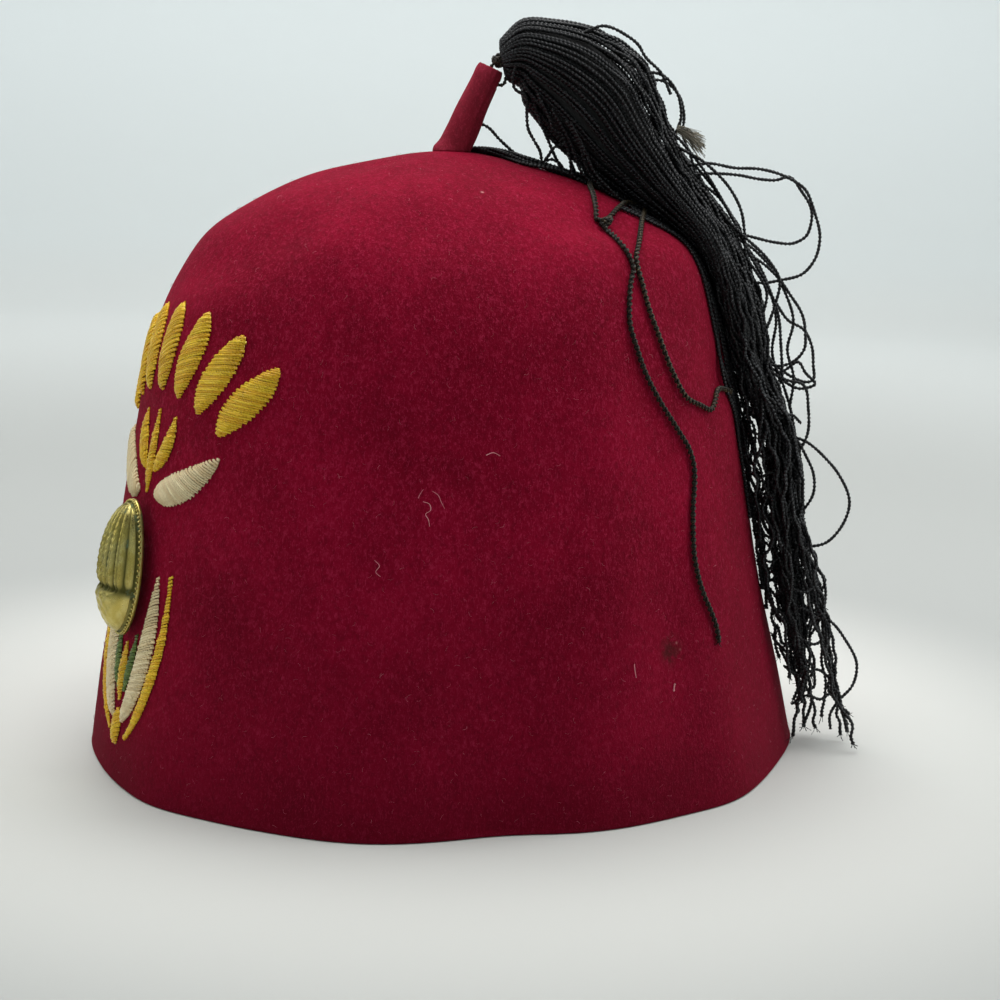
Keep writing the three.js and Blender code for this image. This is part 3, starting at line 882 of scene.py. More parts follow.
def net_points(chance, outness, depths):
    """The cords' stations down the fall, where they wind in a lock and change locks, and the
    lock that each ends in."""
    count = len(outness)
    counts, widths, courses = zip(*LOCKS)
    lock = np.empty(count, int)
    lock[np.argsort(outness)] = np.repeat(np.arange(len(LOCKS)), counts)
    widths = np.array(widths)
    routes = [through(course, 1.0) for course in courses]
    # how each cord turns in its lock, how far out it runs there, and its depth
    start = chance.uniform(0, math.tau, count)
    turn = chance.uniform(0.6, 1.3, count) * chance.choice([-1, 1], count)
    share = np.sqrt(chance.uniform(0.02, 1, count))
    deep = 0.45 * depths + 0.55 * chance.uniform(-1, 1, count)
    stations = []
    for k, height in enumerate(NET_HEIGHTS):
        if k > 1:
            change = chance.uniform(0, 1, count) < LOCK_CHANGE
            step = chance.choice([-1, 1], count)
            lock = np.where(change, np.clip(lock + step, 0, len(LOCKS) - 1), lock)
        centre = np.array([np.interp(-height, -route[:, 1], route[:, 0]) for route in routes])
        around = start + turn * k
        reach = centre[lock] + widths[lock] * share * np.cos(around)
        depth = NET_DEPTH * np.clip(deep + 0.12 * np.sin(1.7 * around), -1, 1)
        level = height + chance.uniform(-1.5, 1.5, count)
        stations.append(seen_at(reach, level, depth))
    return stations, lock


def tassel_courses():
    """Stations of the cords' middle lines, locks and least wave, for the cords that show over
    the arch and for those that start inside the bundle."""
    chance = np.random.default_rng(11)
    total = sum(lock[0] for lock in LOCKS)
    even = (np.arange(SURFACE_CORDS) + chance.uniform(-0.35, 0.35, SURFACE_CORDS)) / SURFACE_CORDS
    even = even * math.tau - math.pi
    layer = np.where(np.arange(SURFACE_CORDS) % 3 == 0, 0.9, 0.99)
    inside = chance.uniform(-0.75, 0.75, (2, total - SURFACE_CORDS))
    thick = np.concatenate([layer * np.sin(even), inside[0]])
    depth = np.concatenate([layer * np.cos(even), inside[1]])
    net, lock = net_points(chance, thick, depth)
    over = arch_stations(thick[:SURFACE_CORDS], depth[:SURFACE_CORDS])
    under = [arch_point(k, 0.6 * inside[0], 0.6 * inside[1]) for k in (5, 6)]
    for k in range(BUNDLED):
        over.append(fall_point(k, thick[:SURFACE_CORDS], depth[:SURFACE_CORDS]))
        under.append(fall_point(k, *inside))
    over += [points[:SURFACE_CORDS] for points in net]
    under += [points[SURFACE_CORDS:] for points in net]
    locks = lock[:SURFACE_CORDS], lock[SURFACE_CORDS:]
    return zip((np.array(over), np.array(under)), locks, (0.1, 0.4))


def sway(courses, chance, waves, least, most):
    """Adds waves to courses, sideways in the bundle's plane and in depth, growing downwards."""
    count, cords = courses.shape[:2]
    far = np.linspace(0, 1, count)[:, None]
    least = least * ease((far - 0.06) / 0.1)
    grow = least + (most - least) * ease((far - 0.25) / 0.3)
    side = unit(np.cross(unit(np.gradient(courses, axis=0)), OUTWARD))
    for wave, size in waves:
        turns = COURSE_STEP * count / wave * chance.uniform(0.75, 1.3, (2, cords))
        start = chance.uniform(0, math.tau, (2, cords))
        across = np.sin(math.tau * far * turns[0] + start[0]) * size * grow
        deep = np.sin(math.tau * far * turns[1] + start[1]) * size * grow
        courses = courses + side * across[..., None] + OUTWARD * deep[..., None]
    return courses


def hooked(line, chance):
    """The line with its end turned back up on itself."""
    way = unit(line[-1] - line[-4])
    aside = unit(-ACROSS + OUTWARD * chance.normal(0, 0.5))
    radius = chance.uniform(0.8, 1.8)
    turn = np.linspace(0.25, math.pi * chance.uniform(0.8, 1.1), 7)[:, None]
    curl = line[-1] + radius * ((1 - np.cos(turn)) * aside + np.sin(turn) * way)
    back = unit(curl[-1] - curl[-2])
    tail = curl[-1] + np.linspace(1, chance.uniform(2, 6), 5)[:, None] * (back + 0.15 * aside)
    return np.concatenate([line, curl, tail])


def tassel_lines():
    """The cords' lines: tight and even over the arch, crimped and tangled further down."""
    chance = np.random.default_rng(23)
    lines = []
    for stations, locks, least in tassel_courses():
        courses = through(stations, COURSE_STEP)
        # the cords on the arch's upper side wave more
        lifted = np.clip((stations[5] @ UPWARD - stations[5, :, 2].mean()) / 9 - 0.4, 0, 0.8)
        courses = sway(courses, chance, CORD_WAVES, least + lifted, 0.9)
        for k, lock in enumerate(locks):
            line = clear_of_crown(courses[:, k], CORD_WIDE / 2 + 0.15)
            ends = END_HEIGHTS[np.searchsorted(LOCK_GROUPS, lock, side="right")]
            tip = chance.uniform(*ends[chance.integers(len(ends))])
            below = np.flatnonzero(line[:, 2] < tip)
            line = line[: below[0]] if len(below) else line
            if tip > 6 and chance.uniform() < HOOKED:
                line = hooked(line, chance)
                line = clear_of_crown(line, CORD_WIDE / 2 + 0.1)
            line[:, 2] = np.maximum(line[:, 2], 0.8)
            lines.append(line)
    return lines


def tuft(lines, seed, count=4, longest=2.2, spread=0.36):
    """Loose fibres at the cords' cut ends."""
    chance = np.random.default_rng(seed)
    hairs = []
    for line in lines:
        way = unit(line[-1] - line[-3])
        for _ in range(count):
            lean = way + chance.normal(0, spread, 3)
            bend = chance.normal(0, 0.5, 3)
            length = chance.uniform(0.4, 1) * longest
            t = np.linspace(0, 1, 5)[:, None]
            hair = line[-1] - way * 0.4 + t * unit(lean) * length + t * t * bend
            hair[:, 2] = np.maximum(hair[:, 2], 0.15)
            hairs.append(hair)
    return hairs


def make_core():
    """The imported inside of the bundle, ridged along its cords, which ends inside the fall."""
    angles = np.arange(96) * math.tau / 96
    ridges = 1 + 0.03 * np.cos(24 * angles)
    thick, depth = np.sin(angles) * ridges, np.cos(angles) * ridges
    stations = arch_stations(0.5 * thick, 0.5 * depth)[:2]
    # how full each station is, and how far towards the lower side
    for k, (share, low) in enumerate(
        [(0.7, 0), (0.78, 0.03), (0.8, 0.08), (0.78, 0.14), (0.76, 0.2), (0.72, 0.22), (0.7, 0.2)]
    ):
        stations.append(arch_point(k, share * thick - low, 0.84 * share / 0.78 * depth))
    for k, (share, low) in enumerate([(0.66, 0.1), (0.6, 0.05), (0.34, 0), (0.08, 0)]):
        stations.append(fall_point(k, share * thick - low, share * depth))
    points, faces = capped(through(np.array(stations), 1.5))
    points = clear_of_crown(points, 0.4)
    core = mesh_object("tassel_core", points, [face[::-1] for face in faces])
    return finished(core, BLACK_CORD, "tassel_cord", "tassel")


def tassel_piece(name, lines, seed, *nodes, material=BLACK_CORD, **looks):
    """A finished piece of the tassel's cords."""
    finished(cords(name, lines, material, seed=seed, **looks), None, "tassel_cord", *nodes)


def make_tassel():
    make_core()
    lines = tassel_lines()
    for k in range(TASSEL_PIECES):
        part = lines[k::TASSEL_PIECES]
        tassel_piece(f"tassel_cords_{k + 1}", part, 20 + k, "tassel", fray=0.2)
    tassel_piece("tassel_ends", tuft(lines, 5), 30, scale=0.22, step=0.9)


# Loose cords that stand off the tassel, as reach and height in its upright plane, and depth.
LOOPS = [
    (3, [(54, 166), (59, 164), (62, 163.4), (66, 164), (74, 163), (80, 163), (88, 161), (93, 158),
         (96, 152), (98, 145), (97, 139), (94, 135), (88, 133), (82, 132), (74, 135)]),
    (-2, [(54, 158), (60, 160), (66, 161), (75, 161), (82, 160), (86, 160), (89, 161), (93, 157),
          (96, 152), (96, 148), (95, 145), (92, 143), (86, 143), (81, 144), (72, 146)]),
    (1, [(66, 143), (73, 141), (80, 139), (87, 134), (91, 129), (95, 123), (96, 118), (96, 114),
         (94, 111), (90, 109), (82, 111)]),
    (-4, [(72, 142), (81, 138), (84, 132), (88, 126), (92, 121), (96, 119), (98.5, 115),
          (99.5, 109), (99.5, 104.4), (98, 104), (94.5, 105), (88, 109), (82, 112)]),
    (5, [(54, 170), (60, 167), (64, 165), (68, 162), (72, 158), (76, 151), (77, 146), (78, 139),
         (81, 135), (84, 130), (83, 122)]),
    (2, [(90, 91), (94, 89.5), (98, 88), (103.5, 83.7), (108, 78.6), (111.3, 71), (109.3, 63.7),
         (105, 59), (100, 58), (92, 60)]),
    (-3, [(92, 90), (96.5, 87), (99, 83), (101.3, 78.4), (101.7, 72.2), (98.6, 66.8), (93, 62)]),
    (1, [(95, 41), (100, 39), (103, 38.3), (107.5, 36.7), (113.2, 30.5), (116.8, 23.4),
         (115.8, 17), (112.6, 13), (110, 8), (110.5, 4)]),
    (-2, [(94, 60), (99, 57), (102.5, 53), (106, 48), (107, 43), (106.5, 38), (103, 30)]),
    (4, [(80, 113), (86, 108), (91, 105.5), (95.8, 104.4), (97.7, 97.5), (97.9, 90.5), (95, 84),
         (90, 76)]),
    (0, [(82, 115), (88, 109), (92.2, 100), (94.3, 93), (95.1, 87), (93, 78)]),
    (-1, [(84, 111), (90, 107), (95, 110), (97, 107), (100, 104), (96, 102.5), (90, 105)]),
    (6, [(30, 197), (36, 199.4), (42.4, 197.1), (45.8, 194.6), (47.4, 192), (52, 187.7),
         (55, 182)]),
    (-5, [(50, 186), (54, 185.5), (58, 182), (59.8, 176), (59.6, 172), (62, 166), (64, 160)]),
    (2, [(48, 188), (53, 187), (57, 182.5), (58.4, 176), (57, 170), (60, 164)]),
    (-3, [(66, 158), (70, 155), (74, 150), (77, 145), (76, 142), (74, 138)]),
    (4, [(50, 176), (56, 172), (62, 166), (67, 159.6), (71.6, 152.6), (75.6, 146), (79, 139.6),
         (84, 132), (87.6, 124), (89, 115), (90, 106)]),
    (-6, [(52, 172), (58, 168), (63.6, 162), (68, 155.4), (73, 149), (77.6, 143), (82.4, 137),
          (86, 130), (88.6, 121), (88, 112), (91, 103)]),
    (8, [(56, 164), (62, 159), (67, 155), (71.6, 149.4), (77, 144.6), (83, 139.4), (87, 133.4),
         (86, 126), (83.6, 118)]),
    (0, [(60, 160), (66.6, 156.4), (71, 151), (74.4, 145), (80.4, 141), (85.6, 136), (90, 129),
         (92.6, 121.6), (91.4, 113.4), (93.6, 106), (93, 97)]),
    (3, [(62, 164), (66, 160), (70, 155), (75, 147), (76, 142.5), (79, 138), (80, 130)]),
]
# Cords that sag from the tassel's head to the crown's top.
SAGS = [
    (6, [(13, 188), (12.3, 184.7), (12.8, 182.3), (16.1, 180), (16.4, 175.8), (17, 171.4),
         (18.5, 168.8), (20.4, 165.7), (21.2, 162.5), (24, 160), (32, 157), (42, 152)]),
    (5, [(16, 184), (18.6, 177.7), (20.6, 172.8), (22.4, 168.9), (24.3, 164.9), (26, 162),
         (30, 159), (38, 155), (46, 150)]),
    (8, [(19, 181), (22.6, 174.7), (24.1, 171.4), (25.9, 170.8), (27.2, 168.1), (28.4, 164.6),
         (29.4, 160), (34, 157), (42, 153)]),
    (7, [(33, 172), (30.5, 169.6), (27.8, 168.2), (23.8, 166.7), (22.5, 164.4), (21.4, 163.2),
         (23.4, 163.8), (25.8, 162.7), (27.4, 160.4), (34, 157)]),
    (-4, [(-3, 174), (1, 173.2), (4.1, 172.4), (5.6, 171.8), (9.2, 168.4), (14.4, 164.2),
          (20, 161), (30, 157)]),
    (3, [(21, 178), (25, 172), (27.5, 167), (29, 163), (31, 159), (38, 155)]),
    (9, [(23, 177), (27, 171), (29.5, 166), (31.5, 161), (36, 157), (44, 152)]),
    (1, [(25, 176), (29, 170), (31, 164), (34, 159), (40, 154)]),
    (10, [(27, 174), (31, 168), (33, 162), (36, 158), (43, 153), (50, 149)]),
    (4, [(24, 177), (28, 170.5), (30.5, 165), (33.5, 160), (40, 155), (48, 150)]),
    (12, [(28, 174), (32, 167), (35, 161), (40, 156), (47, 150.5), (53, 147)]),
]
# Cords that lie on the crown, as bearing and distance up the wall.
LAID = [
    [(24.5, 163), (23.5, 160), (22, 155.7), (20, 151), (19.2, 145), (18.8, 142), (17, 138.6),
     (15, 133.3), (14, 127), (15, 121), (16.5, 114), (19.5, 106), (23, 99), (26, 92.4),
     (26.5, 88), (26, 84), (25, 79), (24.2, 73), (23.7, 67), (24, 61), (25, 55), (26.3, 50),
     (27, 46), (27, 42)],
    [(53, 162.3), (40.5, 159.2), (31, 154), (24.5, 148.7), (21, 144.7), (20.2, 142), (20, 136.8),
     (20, 131.5), (21.5, 123.6), (24, 113.5), (27, 107), (31.5, 104.3), (36.5, 102.5),
     (38.5, 103.8), (42.5, 106.5), (52, 104.7)],
    [(25, 161.6), (23.6, 162.8), (26.4, 166.3), (34, 172.4), (44, 177.3), (52, 179)],
    [(25, 162), (27.5, 162.6), (37, 165.4), (50.5, 166.3), (56, 164)],
]
# Cords of the tassel that lie on the felt down its near edge, as bearing and distance up the wall.
EDGE_CORDS = [
    [(38, 166), (43, 157), (46.6, 148), (46, 140), (45.6, 130), (47.2, 117), (49.5, 105),
     (52.4, 97), (53, 88)],
    [(40, 166), (45, 156), (48.4, 147), (47, 139), (49, 129), (48, 116), (52.6, 104), (52.8, 92),
     (55, 80), (55, 68)],
    [(44, 164), (49, 154), (52, 143), (50.4, 131), (52, 118), (53, 106), (57, 94)],
    [(47, 163), (52, 152), (54, 142), (55, 128), (55.6, 114), (58, 100), (59, 88)],
]
# Short snags that cross between the locks of the fall, as reach, height and depth in the plane.
SNAGS = [
    [(81, 92, 6), (83, 90.6, 7), (86, 90.2, 6), (89.5, 88, 4)],
    [(80.6, 84, 8), (83.4, 85.4, 8), (86, 83.6, 7), (88.6, 84.6, 5)],
    [(82, 80, 7), (84.6, 78.2, 8), (87.6, 79.8, 7), (91, 77.4, 4)],
    [(90, 75, 8), (87.4, 73.4, 9), (84.6, 74.4, 8), (83, 71.4, 7)],
    [(84, 69, 7), (87, 67.2, 8), (89.4, 68.6, 7), (92.6, 66, 5)],
    [(91.8, 63, 7), (88.8, 61.4, 8), (86.4, 62.6, 8), (85.2, 59.6, 6)],
    [(86, 56, 6), (89.4, 54.2, 7), (92.4, 55.6, 6), (96, 53, 5)],
    [(103, 48, 6), (99, 46, 8), (95, 47.2, 8), (91, 44.4, 6)],
    [(90, 42, 7), (94, 39.6, 8), (98.4, 41.2, 7), (103.6, 38, 5)],
    [(107, 33, 5), (103, 31, 8), (98.6, 32.4, 8), (94, 29, 6)],
    [(95, 24, 6), (99.4, 21.6, 8), (104, 23.4, 7), (109, 20, 4)],
    [(110, 17, 4), (106, 14.6, 7), (102, 16, 8), (98, 12.6, 6)],
    [(86, 97, 7), (89, 95.4, 8), (92.4, 96.2, 6), (96, 93.4, 3)],
    [(78, 99, 6), (80.6, 97.2, 7), (83.8, 98, 7), (87, 95, 5)],
]
# Loops that lie on the crown's top, pulled round behind the stem's foot: the two depths that
# each runs at, how far it reaches past the foot, and its height over the felt.
CREST_LOOPS = [
    (-7.5, -2.5, -6.5, 0.6),
    (-6, 1.5, -4.6, 1.1),
    (-8.6, 2.8, -5.6, 0.7),
    (-3.4, 6, -3, 1.3),
    (-8.4, -0.6, -7.4, 1.2),
    (-4.6, 4.6, -4.4, 1.7),
    (-5.6, 3.4, -5, 1.5),
    (-3.8, 7.6, -2.4, 0.7),
]
LINE_STEP = 1.2
# How far the cords' middles keep from the felt.
LOOSE_OFF = 0.55
LAID_OFF = 0.84
EDGE_OFF = 0.62
SNAG_OFF = 0.75
# The knot in the laid cords, as bearing and distance up the wall.
LAID_KNOT = (25.5, 161.4)


def on_top(reach, depth, off):
    """Points over the crown's top, at a distance straight above its face."""
    points = in_plane(reach, 0 * reach, depth)
    for k, (x, y, _) in enumerate(points):
        hit = CROWN_TREE.ray_cast(Vector((x * MM, y * MM, 0.3)), Vector((0, 0, -1)))
        points[k, 2] = hit[0].z / MM
    points[:, 2] += off
    return points


def crest_loop(back, front, past, off):
    """A loop that comes in over the crown's top, turns behind the stem's foot and goes back."""
    out = np.array([48.0, 40, 32, 25, 18, 11, 5, 1])
    turn = np.radians([60, 0, -60])
    reach = np.concatenate([out, past + 2.5 - 2.5 * np.cos(turn), out[::-1]])
    foot_back = min(back, -6.4)
    foot_front = -6.4 + 0.9 * (off - 0.6) - 0.5
    ease_in = np.clip((out - 2) / 14, 0, 1)
    far = foot_back * (1 - ease_in) + back * ease_in
    near = foot_front * (1 - ease_in) + front * ease_in
    middle = (foot_back + foot_front) / 2 + (foot_back - foot_front) / 2 * np.sin(turn)
    depth = np.concatenate([far, middle, near[::-1]])
    wave = 0.5 * np.sin(reach / 3.1 + back) + 0.3 * np.sin(reach / 1.7 - front)
    lift = off + 0.35 * np.sin(reach / 4 + front) + 0.25
    return through(on_top(reach, depth + wave, lift), LINE_STEP)


def plane_line(depth, route):
    reach, height = np.array(route, float).T
    return through(in_plane(reach, height, depth), LINE_STEP)


def laid_line(route, off, spacing=LINE_STEP):
    bearing, up = np.array(route, float).T
    points = through(crown_at(bearing, up, off)[0], spacing)
    return clear_of_crown(points, off)


def knot_line(centre, radius, turns):
    """A small overhand tangle of one cord round a point."""
    t = np.linspace(0, turns * math.tau, int(40 * turns))
    tip = t / 3.1
    around = np.stack([np.cos(t), np.sin(t) * np.cos(tip), np.sin(t) * np.sin(tip)], axis=-1)
    return centre + radius * around * (0.75 + 0.25 * np.sin(t * 0.7))[:, None]


def sprig(at, bearing_step, up_step, count, seed):
    """Short crossed ends that stand out of the knot on the crown."""
    chance = np.random.default_rng(seed)
    far = np.array([0, 0.5, 1])
    sprigs = []
    for _ in range(count):
        bearings = at[0] + far * bearing_step * chance.uniform(0.5, 1.2) + chance.normal(0, 0.3, 3)
        ups = at[1] + far * up_step * chance.uniform(-0.4, 1.2) + chance.normal(0, 0.25, 3)
        off = 0.9 + far * chance.uniform(-0.3, 0.8)
        sprigs.append(through(crown_at(bearings, ups, off)[0], 0.5))
    return sprigs


def make_loose_cords():
    loops = [clear_of_crown(plane_line(*loop), LOOSE_OFF) for loop in LOOPS]
    tassel_piece("loose_loops", loops, 41, scale=0.94)
    sags = [clear_of_crown(plane_line(*sag), LOOSE_OFF) for sag in SAGS]
    tassel_piece("sagging_cords", sags, 42, scale=0.94)
    laid = [laid_line(route, LAID_OFF) for route in LAID]
    bearing, up = LAID_KNOT
    laid.append(knot_line(crown_at(bearing, up, 1.5)[0], 1.15, 3.4))
    laid.append(knot_line(crown_at(bearing - 0.8, up - 0.6, 1.2)[0], 0.95, 2.3))
    tassel_piece("laid_cords", laid, 43, material=LAID_CORD, step=0.34, plied=True)
    twigs = sprig(LAID_KNOT, -3.4, -1.6, 4, 61)
    tassel_piece("knot_ends", twigs, 46, material=BROWN_CORD, scale=0.5)
    frayed = tuft([laid[0]], 9, count=9, longest=1.6, spread=0.4)
    tassel_piece("laid_fray", frayed, 47, material=BROWN_CORD, scale=0.2, step=0.6)
    tassel_piece("edge_cords", [laid_line(route, EDGE_OFF) for route in EDGE_CORDS], 48)
    snags = []
    for route in SNAGS:
        points = through(in_plane(*np.array(route).T), 1.0)
        snags.append(clear_of_crown(points, SNAG_OFF))
    tassel_piece("snagged_cords", snags, 49, scale=0.9)
    crest = [clear_of_crown(crest_loop(*loop), LOOSE_OFF) for loop in CREST_LOOPS]
    tassel_piece("crest_loops", crest, 44)
    make_brush()


BRUSH_FROM = (57, 173, 7)
BRUSH_TO = (63.4, 170.4, 8.5)
BRUSH_HAIRS = 150


def make_brush():
    """The untwisted end of a thicker cord, a soft brush that leans out and down."""
    chance = np.random.default_rng(8)
    start = in_plane(*BRUSH_FROM)
    way = in_plane(*BRUSH_TO) - start
    hairs = []
    for _ in range(BRUSH_HAIRS):
        spread = chance.normal(0, 1, 2)
        away = spread[0] * UPWARD + spread[1] * OUTWARD
        t = np.linspace(0, 1, 6)[:, None]
        length = chance.uniform(0.75, 1.25)
        hair = start + away * 0.5 + t * way * length + t ** 1.6 * away * 0.9
        hair = hair - UPWARD * t ** 2 * chance.uniform(0.8, 2.6)
        hairs.append(hair)
    tassel_piece("frayed_end", hairs, 45, material=BRUSH_HAIR, scale=0.15, step=1.2)


make_tassel()
make_loose_cords()


# The stem and its tie

STEM_BASE = (-3.9, 163.8)
STEM_TOP = (6.3, 187.7)
STEM_LENGTH = math.hypot(STEM_TOP[0] - STEM_BASE[0], STEM_TOP[1] - STEM_BASE[1])
STEM_AXIS = unit(in_plane(STEM_TOP[0] - STEM_BASE[0], STEM_TOP[1] - STEM_BASE[1]))
STEM_OUT = unit(in_plane(STEM_TOP[1] - STEM_BASE[1], STEM_BASE[0] - STEM_TOP[0]))
# Radius at the base and the top; radius and depth of the bore down the roll's middle, and radius
# and distance below the top of the hole that the tie goes through.
STEM_RADIUS = (4.5, 3.8)
STEM_BORE = (1.4, 9.0)
STEM_HOLE = (1.2, 3.6)
STEM_COLUMNS = 72
FELT_COIL = 1.05


def at_stem_end(along, out, aside=0.0):
    """A point near the stem's end: along its axis, out towards the tassel, and aside."""
    return (
        in_plane(*STEM_TOP)
        + np.multiply.outer(along, STEM_AXIS)
        + np.multiply.outer(out, STEM_OUT)
        + np.multiply.outer(aside, OUTWARD)
    )


def stem_radius(angle, along):
    """The rolled felt's outer face, with the step at the roll's edge and soft unevenness."""
    share = 1 + along / STEM_LENGTH
    radius = STEM_RADIUS[0] + (STEM_RADIUS[1] - STEM_RADIUS[0]) * share
    seam = (angle - 0.9 + 0.1 * np.sin(along / 5)) % math.tau
    step = 0.4 * np.exp(-seam / 0.5) * ease(seam / 0.05)
    step = step - 0.15 * np.exp(-((seam - 6.2) / 0.06) ** 2)
    foot = 0.45 - 0.35 * np.cos(angle)
    flare = foot * np.exp(-(share / 0.07) ** 2) - 0.35 * ease((share - 0.93) / 0.07)
    uneven = 0.12 * np.sin(2 * angle + along / 4) + 0.08 * np.sin(5 * angle - along / 2.3)
    return radius + step + flare + uneven


def stem_foot(angle):
    """How far along the stem its outer face meets the crown, at an angle round it."""
    along = -STEM_LENGTH + 6
    while along > -STEM_LENGTH - 5:
        radius = stem_radius(angle, max(along, -STEM_LENGTH))
        point = at_stem_end(along, radius * math.cos(angle), radius * math.sin(angle))
        near, normal, _, _ = CROWN_TREE.find_nearest(Vector(point * MM))
        if (Vector(point * MM) - near).dot(normal) < 0.1 * MM:
            break
        along -= 0.1
    return along


def make_stem():
    """The roll of felt: its outer face, its coiled end, and the bore and hole in it."""
    angles = np.arange(STEM_COLUMNS) * math.tau / STEM_COLUMNS
    foot = np.array([stem_foot(angle) for angle in angles])
    rings = []

    def ring(along, radius):
        return at_stem_end(along + 0 * angles, radius * np.cos(angles), radius * np.sin(angles))

    for share in np.linspace(0, 1, 56):
        along = foot * (1 - share) - 0.35 * share
        rings.append(ring(along, stem_radius(angles, along)))
    edge = stem_radius(angles, -0.35 + 0 * angles)
    rings.append(ring(-0.1, edge - 0.15))
    for share in np.linspace(0, 1, 14):
        radius = (edge - 0.4) * (1 - share) + (STEM_BORE[0] + 0.2) * share
        coil = (radius / FELT_COIL - angles / math.tau + 0.25) % 1
        groove = np.exp(-((coil - 0.5) / 0.13) ** 2) * ease(share * 6) * ease((1 - share) * 6)
        rough = 0.07 * np.sin(9 * angles + 7 * share) + 0.05 * np.sin(23 * angles - 11 * share)
        rings.append(ring(-0.45 * groove + rough - 0.05, radius))
    for along in (-0.4, -2, -4, -6.5, -STEM_BORE[1]):
        rings.append(ring(along, STEM_BORE[0] + 0 * angles))
    stem = mesh_object("rolled_stem", *capped(np.array(rings)[::-1]))
    hole_angles = np.arange(20) * math.tau / 20
    drill_rings = np.array([
        at_stem_end(
            -STEM_HOLE[1] + STEM_HOLE[0] * np.cos(hole_angles),
            out + 0 * hole_angles,
            STEM_HOLE[0] * np.sin(hole_angles),
        )
        for out in (-0.2, STEM_RADIUS[1] + 2)
    ])
    drill = mesh_object("drill", *capped(drill_rings))
    cut = stem.modifiers.new("hole", "BOOLEAN")
    cut.operation = "DIFFERENCE"
    cut.solver = "EXACT"
    cut.object = drill
    stem = modified("rolled_stem", stem)
    bpy.data.objects.remove(drill)
    return finished(stem, felt_finish("rolled_felt", on_stem=True), "felt", "stem")


# The knot's middle: beyond the stem's end, and out towards the tassel.
TIE_KNOT = (2.6, 1.4)


def make_tie():
    """The cord through the stem's end, and its knot of tight turns."""
    end, off = TIE_KNOT
    out = STEM_RADIUS[1] + 1.1
    route = [
        (2.4, 0.8, 0), (0.6, 0.1, 0), (-1.8, 0, 0), (-3.6, 0.9, 0), (-3.6, 3.2, 0),
        (-2.8, out + 0.1, 0), (-0.8, out, 0), (1.1, out - 0.1, 0.2), (2.5, 2.8, 0.4),
    ]
    along, reach, aside = np.array(route, float).T
    loop = through(at_stem_end(along, reach, aside), 0.4)
    rise = np.linspace(-1.15, 1.15, 150)
    turns = np.linspace(0, 4.3 * math.tau, 150)
    girth = 1.7 * np.sqrt(np.clip(1 - (rise / 1.6) ** 2, 0.05, 1))
    wound = at_stem_end(
        end + 0.8 * rise + 0.35 * np.cos(turns) * girth,
        off + np.cos(turns) * girth - 0.4 * rise,
        np.sin(turns) * girth,
    )
    over_turns = np.linspace(0.4, 2.4 * math.tau, 80)
    over = at_stem_end(
        end + 1.6 * np.cos(over_turns),
        off + 1.55 * np.sin(over_turns) * np.cos(over_turns / 4),
        1.55 * np.sin(over_turns) * np.sin(over_turns / 4) + 0.3,
    )
    piece = cords("knotted_tie", [loop, wound, over], TIE_CORD, step=0.3, seed=50)
    finished(piece, None, "tie_cord", "tie")


make_stem()
make_tie()


# The stitched leaves on the front

FRONT_BEARING = -86
THREAD_PITCH = 0.62
THREAD_WIDE = 0.72
THREAD_TWIST = 4
THREAD_SLANT = 0.6
STITCH_RISE = 1.35
FAN = {"up": 60, "from": 45, "to": 68, "wide": 8.6, "leaves": 7, "apart": 12}
GOLD = thread_finish("gold_thread", colour(255, 216, 40), colour(246, 188, 16), colour(190, 112, 8))
CREAM = thread_finish(
    "cream_thread", colour(255, 238, 192), colour(244, 218, 168), colour(196, 156, 106)
)
GREEN = thread_finish("green_thread", colour(128, 152, 66), colour(90, 116, 44), colour(46, 62, 22))
# Each thread's material and its slot in the frame.
THREADS = {
    "gold": (GOLD, "gold_thread"),
    "cream": (CREAM, "cream_thread"),
    "green": (GREEN, "green_thread"),
}
# Pieces of stitching: name, thread, width, and path as distance round from the front's middle and
# up the wall. The side pieces come in pairs.
SIDE_PIECES = [
    ("cream_petal", "cream", 8, [(5, 78), (15, 81.5), (28, 91)]),
    ("broad_leaf", "cream", 6.8, [(3, 17), (9.7, 32), (11.8, 58)]),
    ("broad_leaf_edge", "gold", 3, [(6, 13), (15.4, 30), (17.4, 59)]),
    ("green_leaf", "green", 2.6, [(2.2, 25), (4.1, 32), (5.2, 41)]),
    ("twig_leaf", "gold", 4.2, [(2.2, 84), (7, 90), (9, 99)]),
]
MIDDLE_PIECES = [
    ("upper_stalk", "gold", 3, [(0, 78), (0, 88), (0, 100)]),
    ("lower_stalk", "gold", 3.2, [(0, 22), (0, 30), (0, 38)]),
    ("drop", "gold", 5, [(0, 10), (0, 14.5), (0, 20)]),
]


def on_front(u, up, off):
    """A point on the front: distance round from its middle, distance up the wall, and off it."""
    bearing = FRONT_BEARING + np.degrees(u / section("side", up))
    return crown_at(bearing, up, off)[0]


